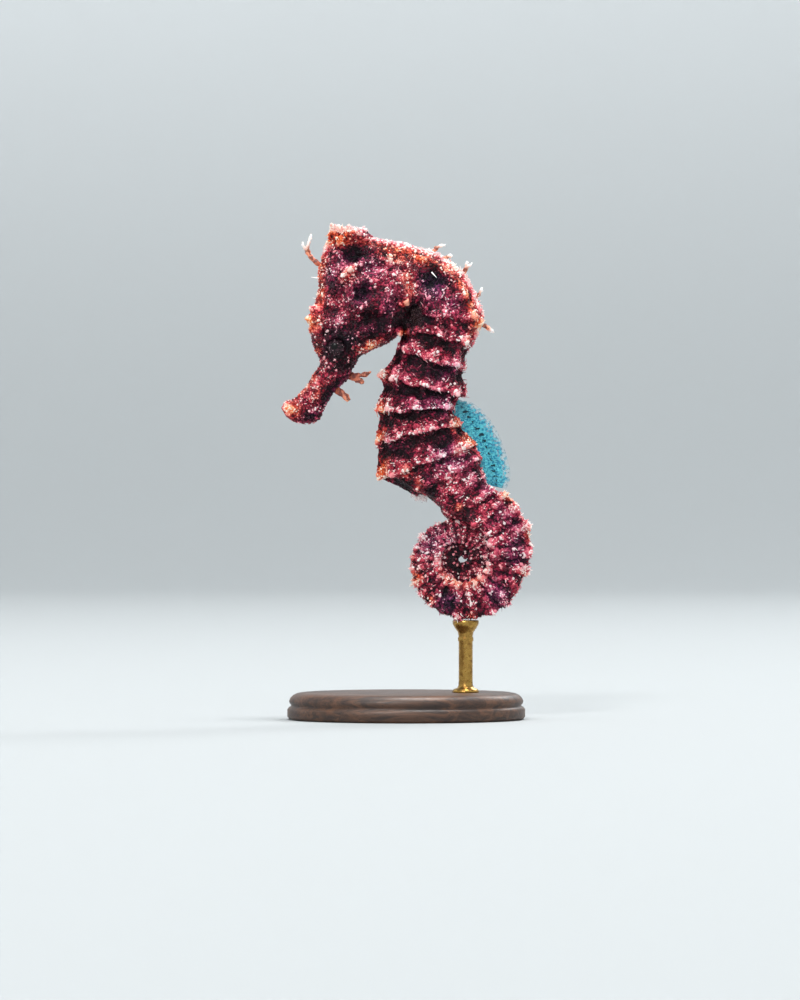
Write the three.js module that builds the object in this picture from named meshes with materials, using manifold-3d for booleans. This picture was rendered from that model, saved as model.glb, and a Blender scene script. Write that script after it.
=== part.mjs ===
// A life-size adult lined seahorse as a museum shows it: swimming upright with its tail coiled, held over a
// small oval base by a short rod. Millimetres, +Z up. The animal faces -X, its mid-plane is Y = 0 and its left
// side is -Y. The origin is on the floor, under the middle of the whole model.
import * as THREE from "three";
import { mergeVertices } from "three/addons/utils/BufferGeometryUtils.js";
import Module from "manifold-3d";

const wasm = await Module();
wasm.setup();

// ---- Driving dimensions ----

const COIL_AXIS = [10.1, 29.7]; // x and z of the axis that the tail coils around
const GAP = 0.3; // between neighbouring solids
const AROUND = 16; // corners of a body section, so that every ridge runs along a row of corners
const EYE = { x: -22.9, z: 39.1, out: 2.5, radius: 2.0 };
const FIN_THICKNESS = 0.5;
const BASE = { long: 44, wide: 34, thick: 5, bevel: 0.7 };
const ROD = { x: 0.9, radius: 1.4, saddle: 2.5, lip: 0.9 }; // x is counted from the coil's axis

// The body's cross-sections from the mouth to the bend of the tail. Each has a point on the back and one on the
// belly, [x, z] from the coil's axis, half its breadth, and how much narrower it is on the back than the belly.
const HEAD = [
  { at: "mouth", back: [-33.4, 28.1], belly: [-32.2, 25.9], half: 0.9, taper: 0 },
  { at: "lips", back: [-32.6, 29.2], belly: [-30.2, 25.0], half: 1.7, taper: 0 },
  { at: "jaw", back: [-31.1, 29.8], belly: [-26.5, 25.3], half: 2.2, taper: 0 },
  { at: "snout waist", back: [-29.2, 31.5], belly: [-24.8, 28.2], half: 1.9, taper: 0 },
  { at: "snout", back: [-27.5, 34.1], belly: [-23.0, 31.1], half: 2.1, taper: 0 },
  { at: "snout root", back: [-26.2, 36.6], belly: [-20.9, 33.1], half: 2.6, taper: 0.05 },
  { at: "eyes", back: [-27.4, 39.2], belly: [-19.2, 36.3], half: 3.7, taper: 0.15 },
  { at: "brow", back: [-28.1, 43.8], belly: [-17.2, 38.1], half: 4.4, taper: 0.25 },
  { at: "cheek", back: [-26.6, 49.4], belly: [-15.0, 39.0], half: 4.8, taper: 0.3 },
  { at: "forehead", back: [-26.3, 54.2], belly: [-13.2, 39.9], half: 4.9, taper: 0.35 },
  { at: "crown", back: [-24.4, 59.0], belly: [-12.3, 40.6], half: 4.7, taper: 0.35 },
  { at: "crown rear", back: [-19.1, 60.0], belly: [-11.7, 41.1], half: 4.2, taper: 0.3 },
  { at: "nape", back: [-14.1, 59.2], belly: [-11.3, 41.4], half: 3.9, taper: 0.2 },
];
// One section for each of the eleven bony rings of the trunk, at its crest.
const TRUNK = [
  { back: [-8.9, 58.2], belly: [-11.1, 41.5], half: 4.1, taper: 0.1 },
  { back: [-3.7, 56.3], belly: [-11.0, 41.4], half: 4.4, taper: 0.05 },
  { back: [0.9, 52.5], belly: [-11.1, 41.1], half: 4.7, taper: 0 },
  { back: [3.1, 48.1], belly: [-11.3, 40.5], half: 4.9, taper: 0 },
  { back: [4.4, 44.0], belly: [-11.7, 39.6], half: 5.1, taper: 0 },
  { back: [2.2, 39.5], belly: [-12.3, 38.0], half: 5.2, taper: 0 },
  { back: [1.0, 35.3], belly: [-13.2, 36.2], half: 5.3, taper: 0 },
  { back: [1.0, 30.5], belly: [-14.2, 33.8], half: 5.3, taper: 0 },
  { back: [-1.0, 28.2], belly: [-15.1, 27.9], half: 5.3, taper: 0 },
  { back: [0.1, 25.5], belly: [-15.3, 22.1], half: 5.1, taper: 0 },
  { back: [3.0, 21.6], belly: [-15.0, 15.2], half: 4.7, taper: 0 },
];
const TAIL_ROOT = [
  { back: [4.2, 19.1], belly: [-8.8, 11.7], half: 4.3, taper: 0 },
  { back: [4.7, 15.6], belly: [-5.1, 10.5], half: 4.1, taper: 0 },
  { back: [6.6, 13.1], belly: [-2.3, 8.5], half: 3.95, taper: 0 },
  { back: [9.6, 11.5], belly: [4.1, 5.3], half: 3.8, taper: 0 },
  { back: [12.7, 6.0], belly: [5.4, 2.45], half: 3.6, taper: 0 },
];
// The coil: outer radius, inner radius and half its breadth, every quarter turn from a quarter turn above its
// right-hand side.
const COIL = [
  [15.2, 8.2, 4.2],
  [13.35, 5.4, 3.4],
  [11.65, 4.5, 2.75],
  [9.55, 4.25, 2.3],
  [7.4, 3.2, 1.9],
  [5.0, 1.65, 1.6],
  [4.05, 1.05, 1.35],
  [3.8, 0.75, 1.15],
  [2.75, 0.7, 0.9],
  [1.3, 0.45, 0.45],
  [0.9, 0.4, 0.3],
];
const COIL_TURNS = 2.1;
const COIL_STEPS = 8; // rows per turn
// Rows are counted from the mouth: the head's end, the tail's first row and the coil's first row.
const NECK = HEAD.length - 0.5;
const RUMP = HEAD.length + TRUNK.length;
const COIL_START = RUMP + TAIL_ROOT.length;
// A tail ring's length over the tail's depth there: up to the coil, in its first turn, and further in.
const RING_PITCH = { bend: 0.4, coil: 0.33, inner: 0.7 };

// Ridges run along the body at these angles from the mid-line of the back; three of them stop at the tail.
const RIDGES = [45, 135].map(THREE.MathUtils.degToRad);
const TRUNK_RIDGES = [0, 90, 180].map(THREE.MathUtils.degToRad);
const RIDGE_BREADTH = THREE.MathUtils.degToRad(13);
const FACE_DIP = 0.1; // how far the faces between ridges, and the grooves between rings, lie below the crests
const GROOVE_DIP = 0.085;
// These rings, counted from the head, carry knobs on their upper ridges. A knob's length is in rings.
const KNOBBED = [1, 3, 5, 8, 11, 13, 15, 17, 19, 21, 24, 28, 32, 36, 40];
const KNOB = { place: RIDGES[0], breadth: THREE.MathUtils.degToRad(16), length: 0.3, rise: 0.2 };
// The power of a section's outline, where 2 is an ellipse and more is squarer, and what trunk and tail add to it.
const SQUARENESS = { head: 2.1, trunk: 0.2, tail: 1.7 };

// ---- Small helpers ----

const smooth = (from, to, t) => THREE.MathUtils.smoothstep(t, from, to);

// A Catmull-Rom spline through rows of numbers, one row to each whole value of u.
function spline(rows, u) {
  const i = Math.min(Math.max(Math.floor(u), 0), rows.length - 2);
  const t = u - i;
  const row = (k) => rows[Math.min(Math.max(i + k, 0), rows.length - 1)];
  const [a, b, c, d] = [row(-1), row(0), row(1), row(2)];
  return b.map((_, j) => {
    const slopeIn = (c[j] - a[j]) / 2;
    const slopeOut = (d[j] - b[j]) / 2;
    const rise = c[j] - b[j];
    const [square, cube] = [3 * rise - 2 * slopeIn - slopeOut, slopeIn + slopeOut - 2 * rise];
    return b[j] + t * (slopeIn + t * (square + t * cube));
  });
}

function toSolid(geometry) {
  const bare = new THREE.BufferGeometry().setAttribute("position", geometry.getAttribute("position"));
  if (geometry.index) bare.setIndex(geometry.index);
  const merged = mergeVertices(bare, 1e-4);
  const triVerts = Uint32Array.from(merged.index.array);
  const vertProperties = merged.attributes.position.array;
  return new wasm.Manifold(new wasm.Mesh({ numProp: 3, vertProperties, triVerts }));
}

function toMesh(name, solid, material) {
  const made = solid.getMesh();
  const geometry = new THREE.BufferGeometry();
  geometry.setAttribute("position", new THREE.BufferAttribute(Float32Array.from(made.vertProperties), 3));
  geometry.setIndex(new THREE.BufferAttribute(Uint32Array.from(made.triVerts), 1));
  geometry.computeVertexNormals();
  const mesh = new THREE.Mesh(geometry, material);
  mesh.name = name;
  return mesh;
}

// A closed solid through rings of points, with a fan over each end.
function loft(rings) {
  const around = rings[0].length;
  const points = rings.flat();
  const centre = (ring) => ring.reduce((sum, p) => sum.add(p), new THREE.Vector3()).divideScalar(around);
  const first = points.push(centre(rings[0])) - 1;
  const last = points.push(centre(rings.at(-1))) - 1;
  const faces = [];
  for (let k = 0; k < around; k++) {
    const next = (k + 1) % around;
    for (let i = 0; i + 1 < rings.length; i++) {
      const [a, b] = [i * around + k, i * around + next];
      faces.push(a, a + around, b, b, a + around, b + around);
    }
    const end = (rings.length - 1) * around;
    faces.push(first, k, next, last, end + next, end + k);
  }
  const geometry = new THREE.BufferGeometry().setFromPoints(points).setIndex(faces);
  const solid = toSolid(geometry);
  return solid.volume() > 0 ? solid : toSolid(geometry.setIndex(faces.reverse()));
}

// ---- The body's shape ----

function pitchAt(row) {
  if (row <= COIL_START) return RING_PITCH.bend;
  return row <= COIL_START + COIL_STEPS ? RING_PITCH.coil : RING_PITCH.inner;
}

// The coil's section after so many turns, as a row like those of the tables above.
function coilSection(turn) {
  const [outer, inner, half] = spline(COIL, turn * 4 + 1);
  const [c, s] = [Math.cos(turn * 2 * Math.PI), -Math.sin(turn * 2 * Math.PI)];
  return { back: [outer * c, outer * s], belly: [inner * c, inner * s], half, taper: 0 };
}

// Every section as a row of numbers, with its ring count: 1 at the trunk's first ring and under 1 on the head.
function bodyRows() {
  const sections = [...HEAD, ...TRUNK, ...TAIL_ROOT];
  for (let k = 0; k <= COIL_TURNS * COIL_STEPS; k++) sections.push(coilSection(k / COIL_STEPS));
  const rows = [];
  sections.forEach(({ back, belly, half, taper }, i) => {
    let ring = i - HEAD.length + 1;
    if (i > RUMP + 2) {
      const [x, z, bx, bz] = rows[i - 1];
      const step = Math.hypot(back[0] + belly[0] - x - bx, back[1] + belly[1] - z - bz) / 2;
      const depth = Math.hypot(back[0] - belly[0], back[1] - belly[1]);
      ring = rows[i - 1][6] + step / (pitchAt(i) * depth);
    }
    rows.push([...back, ...belly, half, taper, Math.max(ring, 0)]);
  });
  return rows;
}

const ROWS = bodyRows();
const END = ROWS.length - 1;

// The gill cover's dome, and the collar round the eye, as a swelling of the head's side at x and z.
const GILL = { x: -16.6, z: 47.3, radius: 6.4, height: 0.75 };
const ORBIT = { breadth: 0.9, height: 0.55 };
function cheekSwelling(x, z) {
  const gill = Math.hypot(x - GILL.x, z - GILL.z) / GILL.radius;
  const orbit = (Math.hypot(x - EYE.x, z - EYE.z) - EYE.radius) / ORBIT.breadth;
  return GILL.height * (1 - smooth(0.75, 1.05, gill)) + ORBIT.height * Math.exp(-orbit * orbit);
}

// How much a knob raises the skin at an angle on a ring, from 0 to 1.
function knobAt(ring, angle) {
  const across = (Math.abs(angle) - KNOB.place) / KNOB.breadth;
  const away = Math.min(...KNOBBED.map((knobbed) => Math.abs(ring - knobbed))) / KNOB.length;
  return Math.exp(-across * across - away * away);
}

// A point of the skin at u along the body and an angle round it, counted from the back, grown outwards by grow.
function skinPoint(u, angle, grow = 0) {
  const [bx, bz, vx, vz, half, taper, ring] = spline(ROWS, u);
  const trunk = smooth(0.5, 2, ring) * (1 - smooth(RUMP - 2, RUMP + 2, u));
  const tail = smooth(RUMP - 2, RUMP + 4, u);
  const ringed = trunk + tail;
  const power = SQUARENESS.head + SQUARENESS.trunk * trunk + SQUARENESS.tail * tail;
  const [c, s] = [Math.cos(angle), Math.sin(angle)];
  const ridgeAt = (place) => Math.exp(-(((Math.abs(angle) - place) / RIDGE_BREADTH) ** 2));
  const long = Math.max(...RIDGES.map(ridgeAt));
  const short = Math.max(...TRUNK_RIDGES.map(ridgeAt)) * trunk;
  const crest = (0.5 + 0.5 * Math.cos(2 * Math.PI * ring)) ** 1.5;
  const ridged = 1 - FACE_DIP * ringed * (1 - Math.max(long, short));
  const dip = ridged * (1 - GROOVE_DIP * ringed * (1 - crest)) * (1 + KNOB.rise * ringed * knobAt(ring, angle));
  const round = (Math.abs(c) ** power + Math.abs(s) ** power) ** (-1 / power) * dip;
  const depth = Math.hypot(bx - vx, bz - vz) / 2;
  const along = round * c + (grow * c) / depth;
  const x = (bx + vx + (bx - vx) * along) / 2;
  const z = (bz + vz + (bz - vz) * along) / 2;
  const headed = 1 - smooth(NECK, NECK + 2, u);
  const y = s * (half * round * (1 - taper * c) + grow + headed * cheekSwelling(x, z));
  return new THREE.Vector3(x, y, z);
}

function bodyRing(u, grow) {
  return Array.from({ length: AROUND }, (_, k) => skinPoint(u, -Math.PI + (k * 2 * Math.PI) / AROUND, grow));
}

// Where the sections go: three to a row of the head, then at even shares of each bony ring, with fewer on the
// tail. Each crest has one.
const SHARES = [{ before: 14, shares: 3 }, { before: Infinity, shares: 2 }];
function sectionPlaces(end) {
  const places = [];
  for (let u = 0; u < HEAD.length; u += 1 / 3) places.push(u);
  let counted = 0;
  for (let u = HEAD.length; u <= end; u += 0.005) {
    const ring = spline(ROWS, u)[6];
    const { shares } = SHARES.find(({ before }) => ring < before);
    const share = Math.floor(ring * shares + 1e-6) / shares;
    if (share > counted) places.push(u);
    counted = share;
  }
  return [...places, end];
}

const sweep = (end, grow) => loft(sectionPlaces(end).map((u) => bodyRing(u, grow)));

// ---- Pieces that stand on the body ----

// A blunt spike from a root to a tip, both [x, y, z].
function spike(root, tip, rootRadius, tipRadius) {
  const [from, to] = [new THREE.Vector3(...root), new THREE.Vector3(...tip)];
  const length = from.distanceTo(to);
  const shoulder = length * 0.85;
  const profile = [[0, 0], [rootRadius, 0], [tipRadius, shoulder], [tipRadius * 0.6, length], [0, length]];
  const geometry = new THREE.LatheGeometry(profile.map(([x, y]) => new THREE.Vector2(x, y)), 6);
  const along = to.clone().sub(from).normalize();
  const turn = new THREE.Quaternion().setFromUnitVectors(new THREE.Vector3(0, 1, 0), along);
  geometry.applyMatrix4(new THREE.Matrix4().makeRotationFromQuaternion(turn).setPosition(from));
  return toSolid(geometry);
}

// The coronet: a low column with five blunt knobs round its rim and a dished top. Its foot spreads over the head,
// further behind than in front.
const CORONET = { x: -21.0, foot: 57.6, top: 61.8, spread: 4.1, waist: 3.0, rim: 3.15, breadth: 0.85, rear: 0.3 };
const CROWN_KNOB = { reach: 0.1, rise: 0.3 };
function coronet() {
  const { x, foot, top, spread, waist, rim, breadth, rear } = CORONET;
  const levels = [
    [spread, foot, 0],
    [waist * 1.15, foot + 0.4 * (top - foot), 0.1],
    [waist, foot + 0.65 * (top - foot), 0.3],
    [rim, top - 0.6, 1],
    [rim * 0.93, top, 1],
    [rim * 0.55, top - 0.35, 0.3],
  ];
  return loft(levels.map(([radius, z, lobed]) => Array.from({ length: 20 }, (_, k) => {
    const angle = (k * Math.PI) / 10;
    const lobe = lobed * Math.cos(5 * angle);
    const reach = radius * (1 + CROWN_KNOB.reach * lobe);
    const behind = 1 + rear * Math.max(Math.cos(angle), 0) * (1 - lobed);
    const along = reach * Math.cos(angle) * behind;
    return new THREE.Vector3(x + along, breadth * reach * Math.sin(angle), z + CROWN_KNOB.rise * lobe);
  })));
}

// A frond of skin: a chain of spikes through points [x, y, z], with its own branches.
const FROND_ROOT = 0.52;
const FROND_TIP = 0.3;
function frond(...chains) {
  const links = chains.flatMap((chain) => chain.slice(1).map((tip, i) => {
    const radius = (k) => THREE.MathUtils.lerp(FROND_ROOT, FROND_TIP, k / (chain.length - 1));
    return spike(chain[i], tip, radius(i), radius(i + 1));
  }));
  return wasm.Manifold.union(links);
}

// A fin's blade in the plane y = 0 from its outline, drawn in x and z.
function finBlade(shape) {
  const settings = { depth: FIN_THICKNESS, bevelEnabled: false, curveSegments: 9 };
  return new THREE.ExtrudeGeometry(shape, settings).translate(0, 0, -FIN_THICKNESS / 2).rotateX(Math.PI / 2);
}

function dorsalFin() {
  const shape = new THREE.Shape();
  shape.moveTo(-3, 28.4);
  shape.lineTo(-0.9, 29.7);
  shape.bezierCurveTo(5.6, 29.3, 9.3, 20.5, 9.3, 15.0);
  shape.quadraticCurveTo(9.3, 13.3, 8.2, 12.9);
  shape.lineTo(4.6, 13.4);
  shape.lineTo(0, 22);
  return toSolid(finBlade(shape));
}

function analFin() {
  const shape = new THREE.Shape();
  shape.moveTo(-8.6, 14);
  shape.lineTo(-9.5, 11.6);
  shape.quadraticCurveTo(-8.4, 10.3, -6.4, 10.3);
  shape.lineTo(-5.6, 12.4);
  return toSolid(finBlade(shape));
}

// The pectoral fin is a small fan behind the gill cover, held a little off the body.
const PECTORAL = { x: -10.4, z: 45.0, out: 4.3, reach: 4.2, low: -48, high: 30, splay: 24 };
function pectoralFin(side) {
  const { x, z, out, reach, low, high, splay } = PECTORAL;
  const [from, to, turn] = [low, high, splay].map(THREE.MathUtils.degToRad);
  const shape = new THREE.Shape();
  shape.moveTo(0, 0);
  shape.absarc(0, 0, reach, from, to, false);
  return toSolid(finBlade(shape).rotateZ(side * turn).translate(x, side * out, z));
}

// ---- The whole animal, then its parting ----

// Spines joined to the head: one over each eye, one on each side of the crown, and one under each gill cover.
const SPINES = [
  { root: [-26.0, 2.2, 44.0], tip: [-28.6, 2.9, 44.4], radius: 0.9 },
  { root: [-20.2, 2.8, 52.4], tip: [-20.8, 4.9, 52.9], radius: 0.9 },
  { root: [-11.2, 3.4, 47.4], tip: [-10.2, 5.2, 47.0], radius: 0.9 },
  { root: [-11.6, 2.0, 42.4], tip: [-10.9, 3.6, 41.4], radius: 0.7 },
];

// A thin slab across the body at u, just wide enough for the section there.
function cutAt(u) {
  const [bx, bz, vx, vz, half] = spline(ROWS, u);
  const [x, z] = [(bx + vx) / 2, (bz + vz) / 2];
  const reach = Math.hypot(bx - vx, bz - vz);
  const slack = u > RUMP + 3 ? GAP : 4;
  const geometry = new THREE.BoxGeometry(reach + slack, 2 * half + 6, GAP);
  geometry.rotateY(-Math.atan2(bz - vz, bx - vx)).translate(x, 0, z);
  return toSolid(geometry);
}

const CORONET_CUT = 60.6;
function coronetCut() {
  return toSolid(new THREE.BoxGeometry(9, 9, GAP).translate(CORONET.x, 0, CORONET_CUT));
}

const QUARTER = COIL_STEPS / 4;
// Each length of the body and the u where it ends.
const LENGTHS = [
  ["snout", 5.2],
  ["head", NECK],
  ["neck", HEAD.length + 3.5],
  ["trunk_upper", HEAD.length + 6.5],
  ["trunk_lower", RUMP - 0.5],
  ["tail_root", RUMP + 3.5],
  ...[0, 1, 2, 3, 4, 5].map((k) => [`tail_${k + 1}`, COIL_START + 0.6 + k * QUARTER]),
  ["tail_tip", END],
];

// The name of the length that most of a solid's corners belong to.
function lengthOf(solid) {
  const { vertProperties } = solid.getMesh();
  const middles = ROWS.map(([bx, bz, vx, vz]) => [(bx + vx) / 2, (bz + vz) / 2]);
  let [x, z] = [0, 0];
  for (let i = 0; i < vertProperties.length; i += 3) {
    x += (vertProperties[i] * 3) / vertProperties.length;
    z += (vertProperties[i + 2] * 3) / vertProperties.length;
  }
  const away = middles.map(([mx, mz]) => Math.hypot(mx - x, mz - z));
  const nearest = away.indexOf(Math.min(...away));
  return LENGTHS.find(([, end]) => nearest <= end)[0];
}

const CHIP = 0.5; // cubic millimetres: a smaller piece is a cut's own waste
function partedBody() {
  const mirrored = SPINES.flatMap(({ root, tip, radius }) => [1, -1].map((side) => {
    const across = ([x, y, z]) => [x, side * y, z];
    return spike(across(root), across(tip), radius, radius * 0.35);
  }));
  const whole = wasm.Manifold.union([sweep(END), coronet(), ...mirrored]);
  const cuts = LENGTHS.slice(0, -1).map(([, u]) => cutAt(u));
  const parted = whole.subtract(wasm.Manifold.union([...cuts, coronetCut()]));
  const pieces = new Map();
  for (const solid of parted.decompose().filter((one) => one.volume() > CHIP)) {
    const crown = solid.boundingBox().min[2] > CORONET_CUT;
    pieces.set(crown ? "coronet" : lengthOf(solid), solid);
  }
  return pieces;
}

const eyeball = (side, radius) =>
  toSolid(new THREE.SphereGeometry(radius, 12, 8).translate(EYE.x, side * EYE.out, EYE.z));

// ---- Materials ----

function paint(color, roughness, metalness = 0) {
  return new THREE.MeshStandardMaterial({ color, roughness, metalness });
}
const SKIN = paint(0x5e2a38, 0.75);
const CROWN = paint(0xb8604c, 0.75);
const FROND = paint(0xc98a7c, 0.7);
const FIN = paint(0x9fc6cc, 0.5);
const IRIS = paint(0x1d1014, 0.15);
const WOOD = paint(0x2a1d16, 0.45);
const BRASS = paint(0xa98a4e, 0.35, 1);

// ---- Assembly ----

const animal = new THREE.Group();
animal.position.set(COIL_AXIS[0], 0, COIL_AXIS[1]);

const pieces = partedBody();
const sockets = wasm.Manifold.union([1, -1].map((side) => eyeball(side, EYE.radius + GAP)));
pieces.set("head", pieces.get("head").subtract(sockets));
for (const [name, solid] of pieces) animal.add(toMesh(name, solid, name === "coronet" ? CROWN : SKIN));
for (const [name, side] of [["eye_left", -1], ["eye_right", 1]]) {
  animal.add(toMesh(name, eyeball(side, EYE.radius), IRIS));
}

// What stands on the body is cut back to a gap from it.
const grown = sweep(COIL_START, GAP);
const grownCoronet = toSolid(
  new THREE.CylinderGeometry(CORONET.rim + GAP, CORONET.waist + GAP, 6, 20)
    .rotateX(Math.PI / 2)
    .translate(CORONET.x, 0, CORONET.foot + 2),
);
const clearOfBody = (solid) => {
  const kept = solid.subtract(grown).subtract(grownCoronet).decompose();
  return kept.reduce((most, one) => (one.volume() > most.volume() ? one : most));
};

const FINS = {
  dorsal_fin: dorsalFin(),
  anal_fin: analFin(),
  pectoral_fin_left: pectoralFin(-1),
  pectoral_fin_right: pectoralFin(1),
};
for (const [name, fin] of Object.entries(FINS)) animal.add(toMesh(name, clearOfBody(fin), FIN));

const FRONDS = {
  frond_forehead: frond(
    [[-25.0, 0, 53.8], [-27.0, 0, 55.2], [-28.4, 0, 56.6], [-29.1, 0, 58.6]],
    [[-28.4, 0, 56.6], [-28.0, 0, 58.4], [-27.6, 0, 60.2]],
  ),
  frond_chin_front: frond([[-23.8, 0, 31.5], [-22.1, 0, 30.2], [-20.6, 0, 29.1]]),
  frond_chin_rear: frond(
    [[-21.2, 0, 34.4], [-18.7, 0, 33.6], [-16.2, 0, 34.9]],
    [[-18.9, 0, 33.7], [-18.0, 0, 32.5]],
  ),
  frond_nape_front: frond([[-5.6, 0, 55.6], [-4.2, 0, 57.6], [-2.7, 0, 58.3]]),
  frond_nape_rear: frond([[-4.0, 0, 54.4], [-2.6, 0, 55.8], [-1.3, 0, 56.1]]),
  frond_back_1: frond([[-0.3, 0, 51.4], [1.3, 0, 53.9], [2.3, 0, 54.7]]),
  frond_back_2: frond([[1.4, 0, 47.4], [3.3, 0, 49.0], [4.1, 0, 50.4]]),
  frond_back_3: frond([[2.6, 0, 43.8], [4.6, 0, 43.0], [5.8, 0, 42.2]]),
};
for (const [name, solid] of Object.entries(FRONDS)) animal.add(toMesh(name, clearOfBody(solid), FROND));

// The stand: an oval base, a rod, and a dished saddle just under the coil's lowest ring.
const stand = new THREE.Group();
function standBase() {
  const { long, wide, thick, bevel } = BASE;
  const shape = new THREE.Shape().absellipse(0, 0, long / 2 - bevel, wide / 2 - bevel, 0, 2 * Math.PI, false);
  const edge = { bevelSize: bevel, bevelThickness: bevel, bevelSegments: 2 };
  const settings = { depth: thick - 2 * bevel, curveSegments: 32, ...edge };
  return toSolid(new THREE.ExtrudeGeometry(shape, settings).translate(0, 0, bevel));
}
function standRod() {
  const { radius, saddle, lip } = ROD;
  const top = COIL_AXIS[1] - spline(COIL, 2)[0] - GAP;
  const profile = [
    [0, BASE.thick], [radius + 1.1, BASE.thick], [radius + 1.1, BASE.thick + 0.8], [radius, BASE.thick + 1.6],
    [radius, top - 1.6], [saddle, top - lip], [saddle, top], [0, top - 0.1],
  ];
  const geometry = new THREE.LatheGeometry(profile.map(([x, y]) => new THREE.Vector2(x, y)), 20);
  return toSolid(geometry.rotateX(Math.PI / 2).translate(COIL_AXIS[0] + ROD.x, 0, 0));
}
stand.add(toMesh("stand_base", standBase(), WOOD), toMesh("stand_rod", standRod(), BRASS));

const model = new THREE.Group();
model.add(animal, stand);
export default model;
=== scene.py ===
import math
from functools import reduce

import bmesh
import bpy
import numpy as np
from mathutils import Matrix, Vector, kdtree, noise


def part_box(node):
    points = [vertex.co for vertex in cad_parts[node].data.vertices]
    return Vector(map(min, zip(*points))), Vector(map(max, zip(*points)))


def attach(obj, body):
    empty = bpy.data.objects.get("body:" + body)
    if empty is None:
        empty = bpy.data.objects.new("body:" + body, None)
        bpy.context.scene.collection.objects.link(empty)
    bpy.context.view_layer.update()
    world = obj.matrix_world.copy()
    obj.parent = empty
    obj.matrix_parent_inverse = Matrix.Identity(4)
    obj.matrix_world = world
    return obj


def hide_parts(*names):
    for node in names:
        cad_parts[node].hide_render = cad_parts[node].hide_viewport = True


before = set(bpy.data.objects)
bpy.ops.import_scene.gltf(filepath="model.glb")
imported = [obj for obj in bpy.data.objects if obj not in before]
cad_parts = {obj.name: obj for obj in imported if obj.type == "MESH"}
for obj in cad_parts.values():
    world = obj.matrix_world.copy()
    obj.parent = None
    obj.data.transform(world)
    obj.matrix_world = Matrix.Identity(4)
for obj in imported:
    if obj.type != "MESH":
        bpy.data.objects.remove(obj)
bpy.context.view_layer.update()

MM = 0.001
TAU = 2 * math.pi
noise.seed_set(5)  # unseeded, noise_vector starts from the clock

# ---- The body's sections ----

# Each section: a point on the back, a point on the belly, half the breadth, and how much narrower
# the back is than the belly.
HEAD = [
    (-33.4, 28.1, -32.2, 25.9, 0.9, 0),  # mouth
    (-32.6, 29.2, -30.2, 25.0, 1.7, 0),  # lips
    (-31.1, 29.8, -26.5, 25.3, 2.2, 0),  # jaw
    (-29.2, 31.5, -24.8, 28.2, 1.9, 0),
    (-27.5, 34.1, -23.0, 31.1, 2.1, 0),  # snout
    (-26.2, 36.6, -20.9, 33.1, 2.6, 0.05),
    (-27.4, 39.2, -19.2, 36.3, 3.7, 0.15),  # eyes
    (-28.1, 43.8, -17.2, 38.1, 4.4, 0.25),  # brow
    (-26.6, 49.4, -15.0, 39.0, 4.8, 0.3),
    (-26.3, 54.2, -13.2, 39.9, 4.9, 0.35),
    (-24.4, 59.0, -12.3, 40.6, 4.7, 0.35),  # crown
    (-19.1, 60.0, -11.7, 41.1, 4.2, 0.3),
    (-14.1, 59.2, -11.3, 41.4, 3.9, 0.2),  # nape
]
# The crest of each of the trunk's eleven bony rings.
TRUNK = [
    (-8.9, 58.2, -11.1, 41.5, 4.1, 0.1),
    (-3.7, 56.3, -11.0, 41.4, 4.4, 0.05),
    (0.9, 52.5, -11.1, 41.1, 4.7, 0),
    (3.1, 48.1, -11.3, 40.5, 4.9, 0),
    (4.4, 44.0, -11.7, 39.6, 5.1, 0),
    (2.2, 39.5, -12.3, 38.0, 5.2, 0),
    (1.0, 35.3, -13.2, 36.2, 5.3, 0),
    (1.0, 30.5, -14.2, 33.8, 5.3, 0),
    (-1.0, 28.2, -15.1, 27.9, 5.3, 0),
    (0.1, 25.5, -15.3, 22.1, 5.1, 0),
    (3.0, 21.6, -15.0, 15.2, 4.7, 0),
]
TAIL_ROOT = [
    (4.2, 19.1, -8.8, 11.7, 4.3, 0),
    (4.7, 15.6, -5.1, 10.5, 4.1, 0),
    (6.6, 13.1, -2.3, 8.5, 3.95, 0),
    (9.6, 11.5, 4.1, 5.3, 3.8, 0),
    (12.7, 6.0, 5.4, 2.45, 3.6, 0),
]
# The coil's outer radius, inner radius and half breadth, every quarter turn.
COIL = [
    (15.2, 8.2, 4.2),
    (13.35, 5.4, 3.4),
    (11.65, 4.5, 2.75),
    (9.55, 4.25, 2.3),
    (7.4, 3.2, 1.9),
    (5.0, 1.65, 1.6),
    (4.05, 1.05, 1.35),
    (3.8, 0.75, 1.15),
    (2.75, 0.7, 0.9),
    (1.3, 0.45, 0.45),
    (0.9, 0.4, 0.3),
]
COIL_TURNS = 2.1
COIL_STEPS = 8  # sections to a turn
NECK = len(HEAD) - 0.5
RUMP = len(HEAD) + len(TRUNK)
COIL_START = RUMP + len(TAIL_ROOT)
# A tail ring's length over the tail's depth: up to the coil, in its first turn, and further in.
PITCH_BEND, PITCH_COIL, PITCH_INNER = 0.4, 0.33, 0.7
# At these rings of the back, how many rings further on the pattern has come at the belly.
SLANT_AT, SLANT = (0, 2.5, 5.4, 8), (4.0, 3.5, 1.6, 0)

EYE_X, EYE_Z, EYE_OUT, EYE_R = -22.9, 39.1, 2.5, 2.0
GILL_X, GILL_Z, GILL_R, GILL_HEIGHT = -16.6, 47.3, 6.4, 0.75


def middle(node):
    low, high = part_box(node)
    return (Vector(low) + Vector(high)) / 2


AXIS = middle("eye_left") / MM - Vector((EYE_X, -EYE_OUT, EYE_Z))  # the coil's axis in the frame


def smooth(low, high, t):
    t = np.clip((t - low) / (high - low), 0, 1)
    return t * t * (3 - 2 * t)


def bell(value, breadth):
    """A soft hump: 1 where the value is 0, and about a third at this breadth."""
    return np.exp(-((value / breadth) ** 2))


def largest(*fields):
    return np.maximum.reduce(fields)


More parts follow.
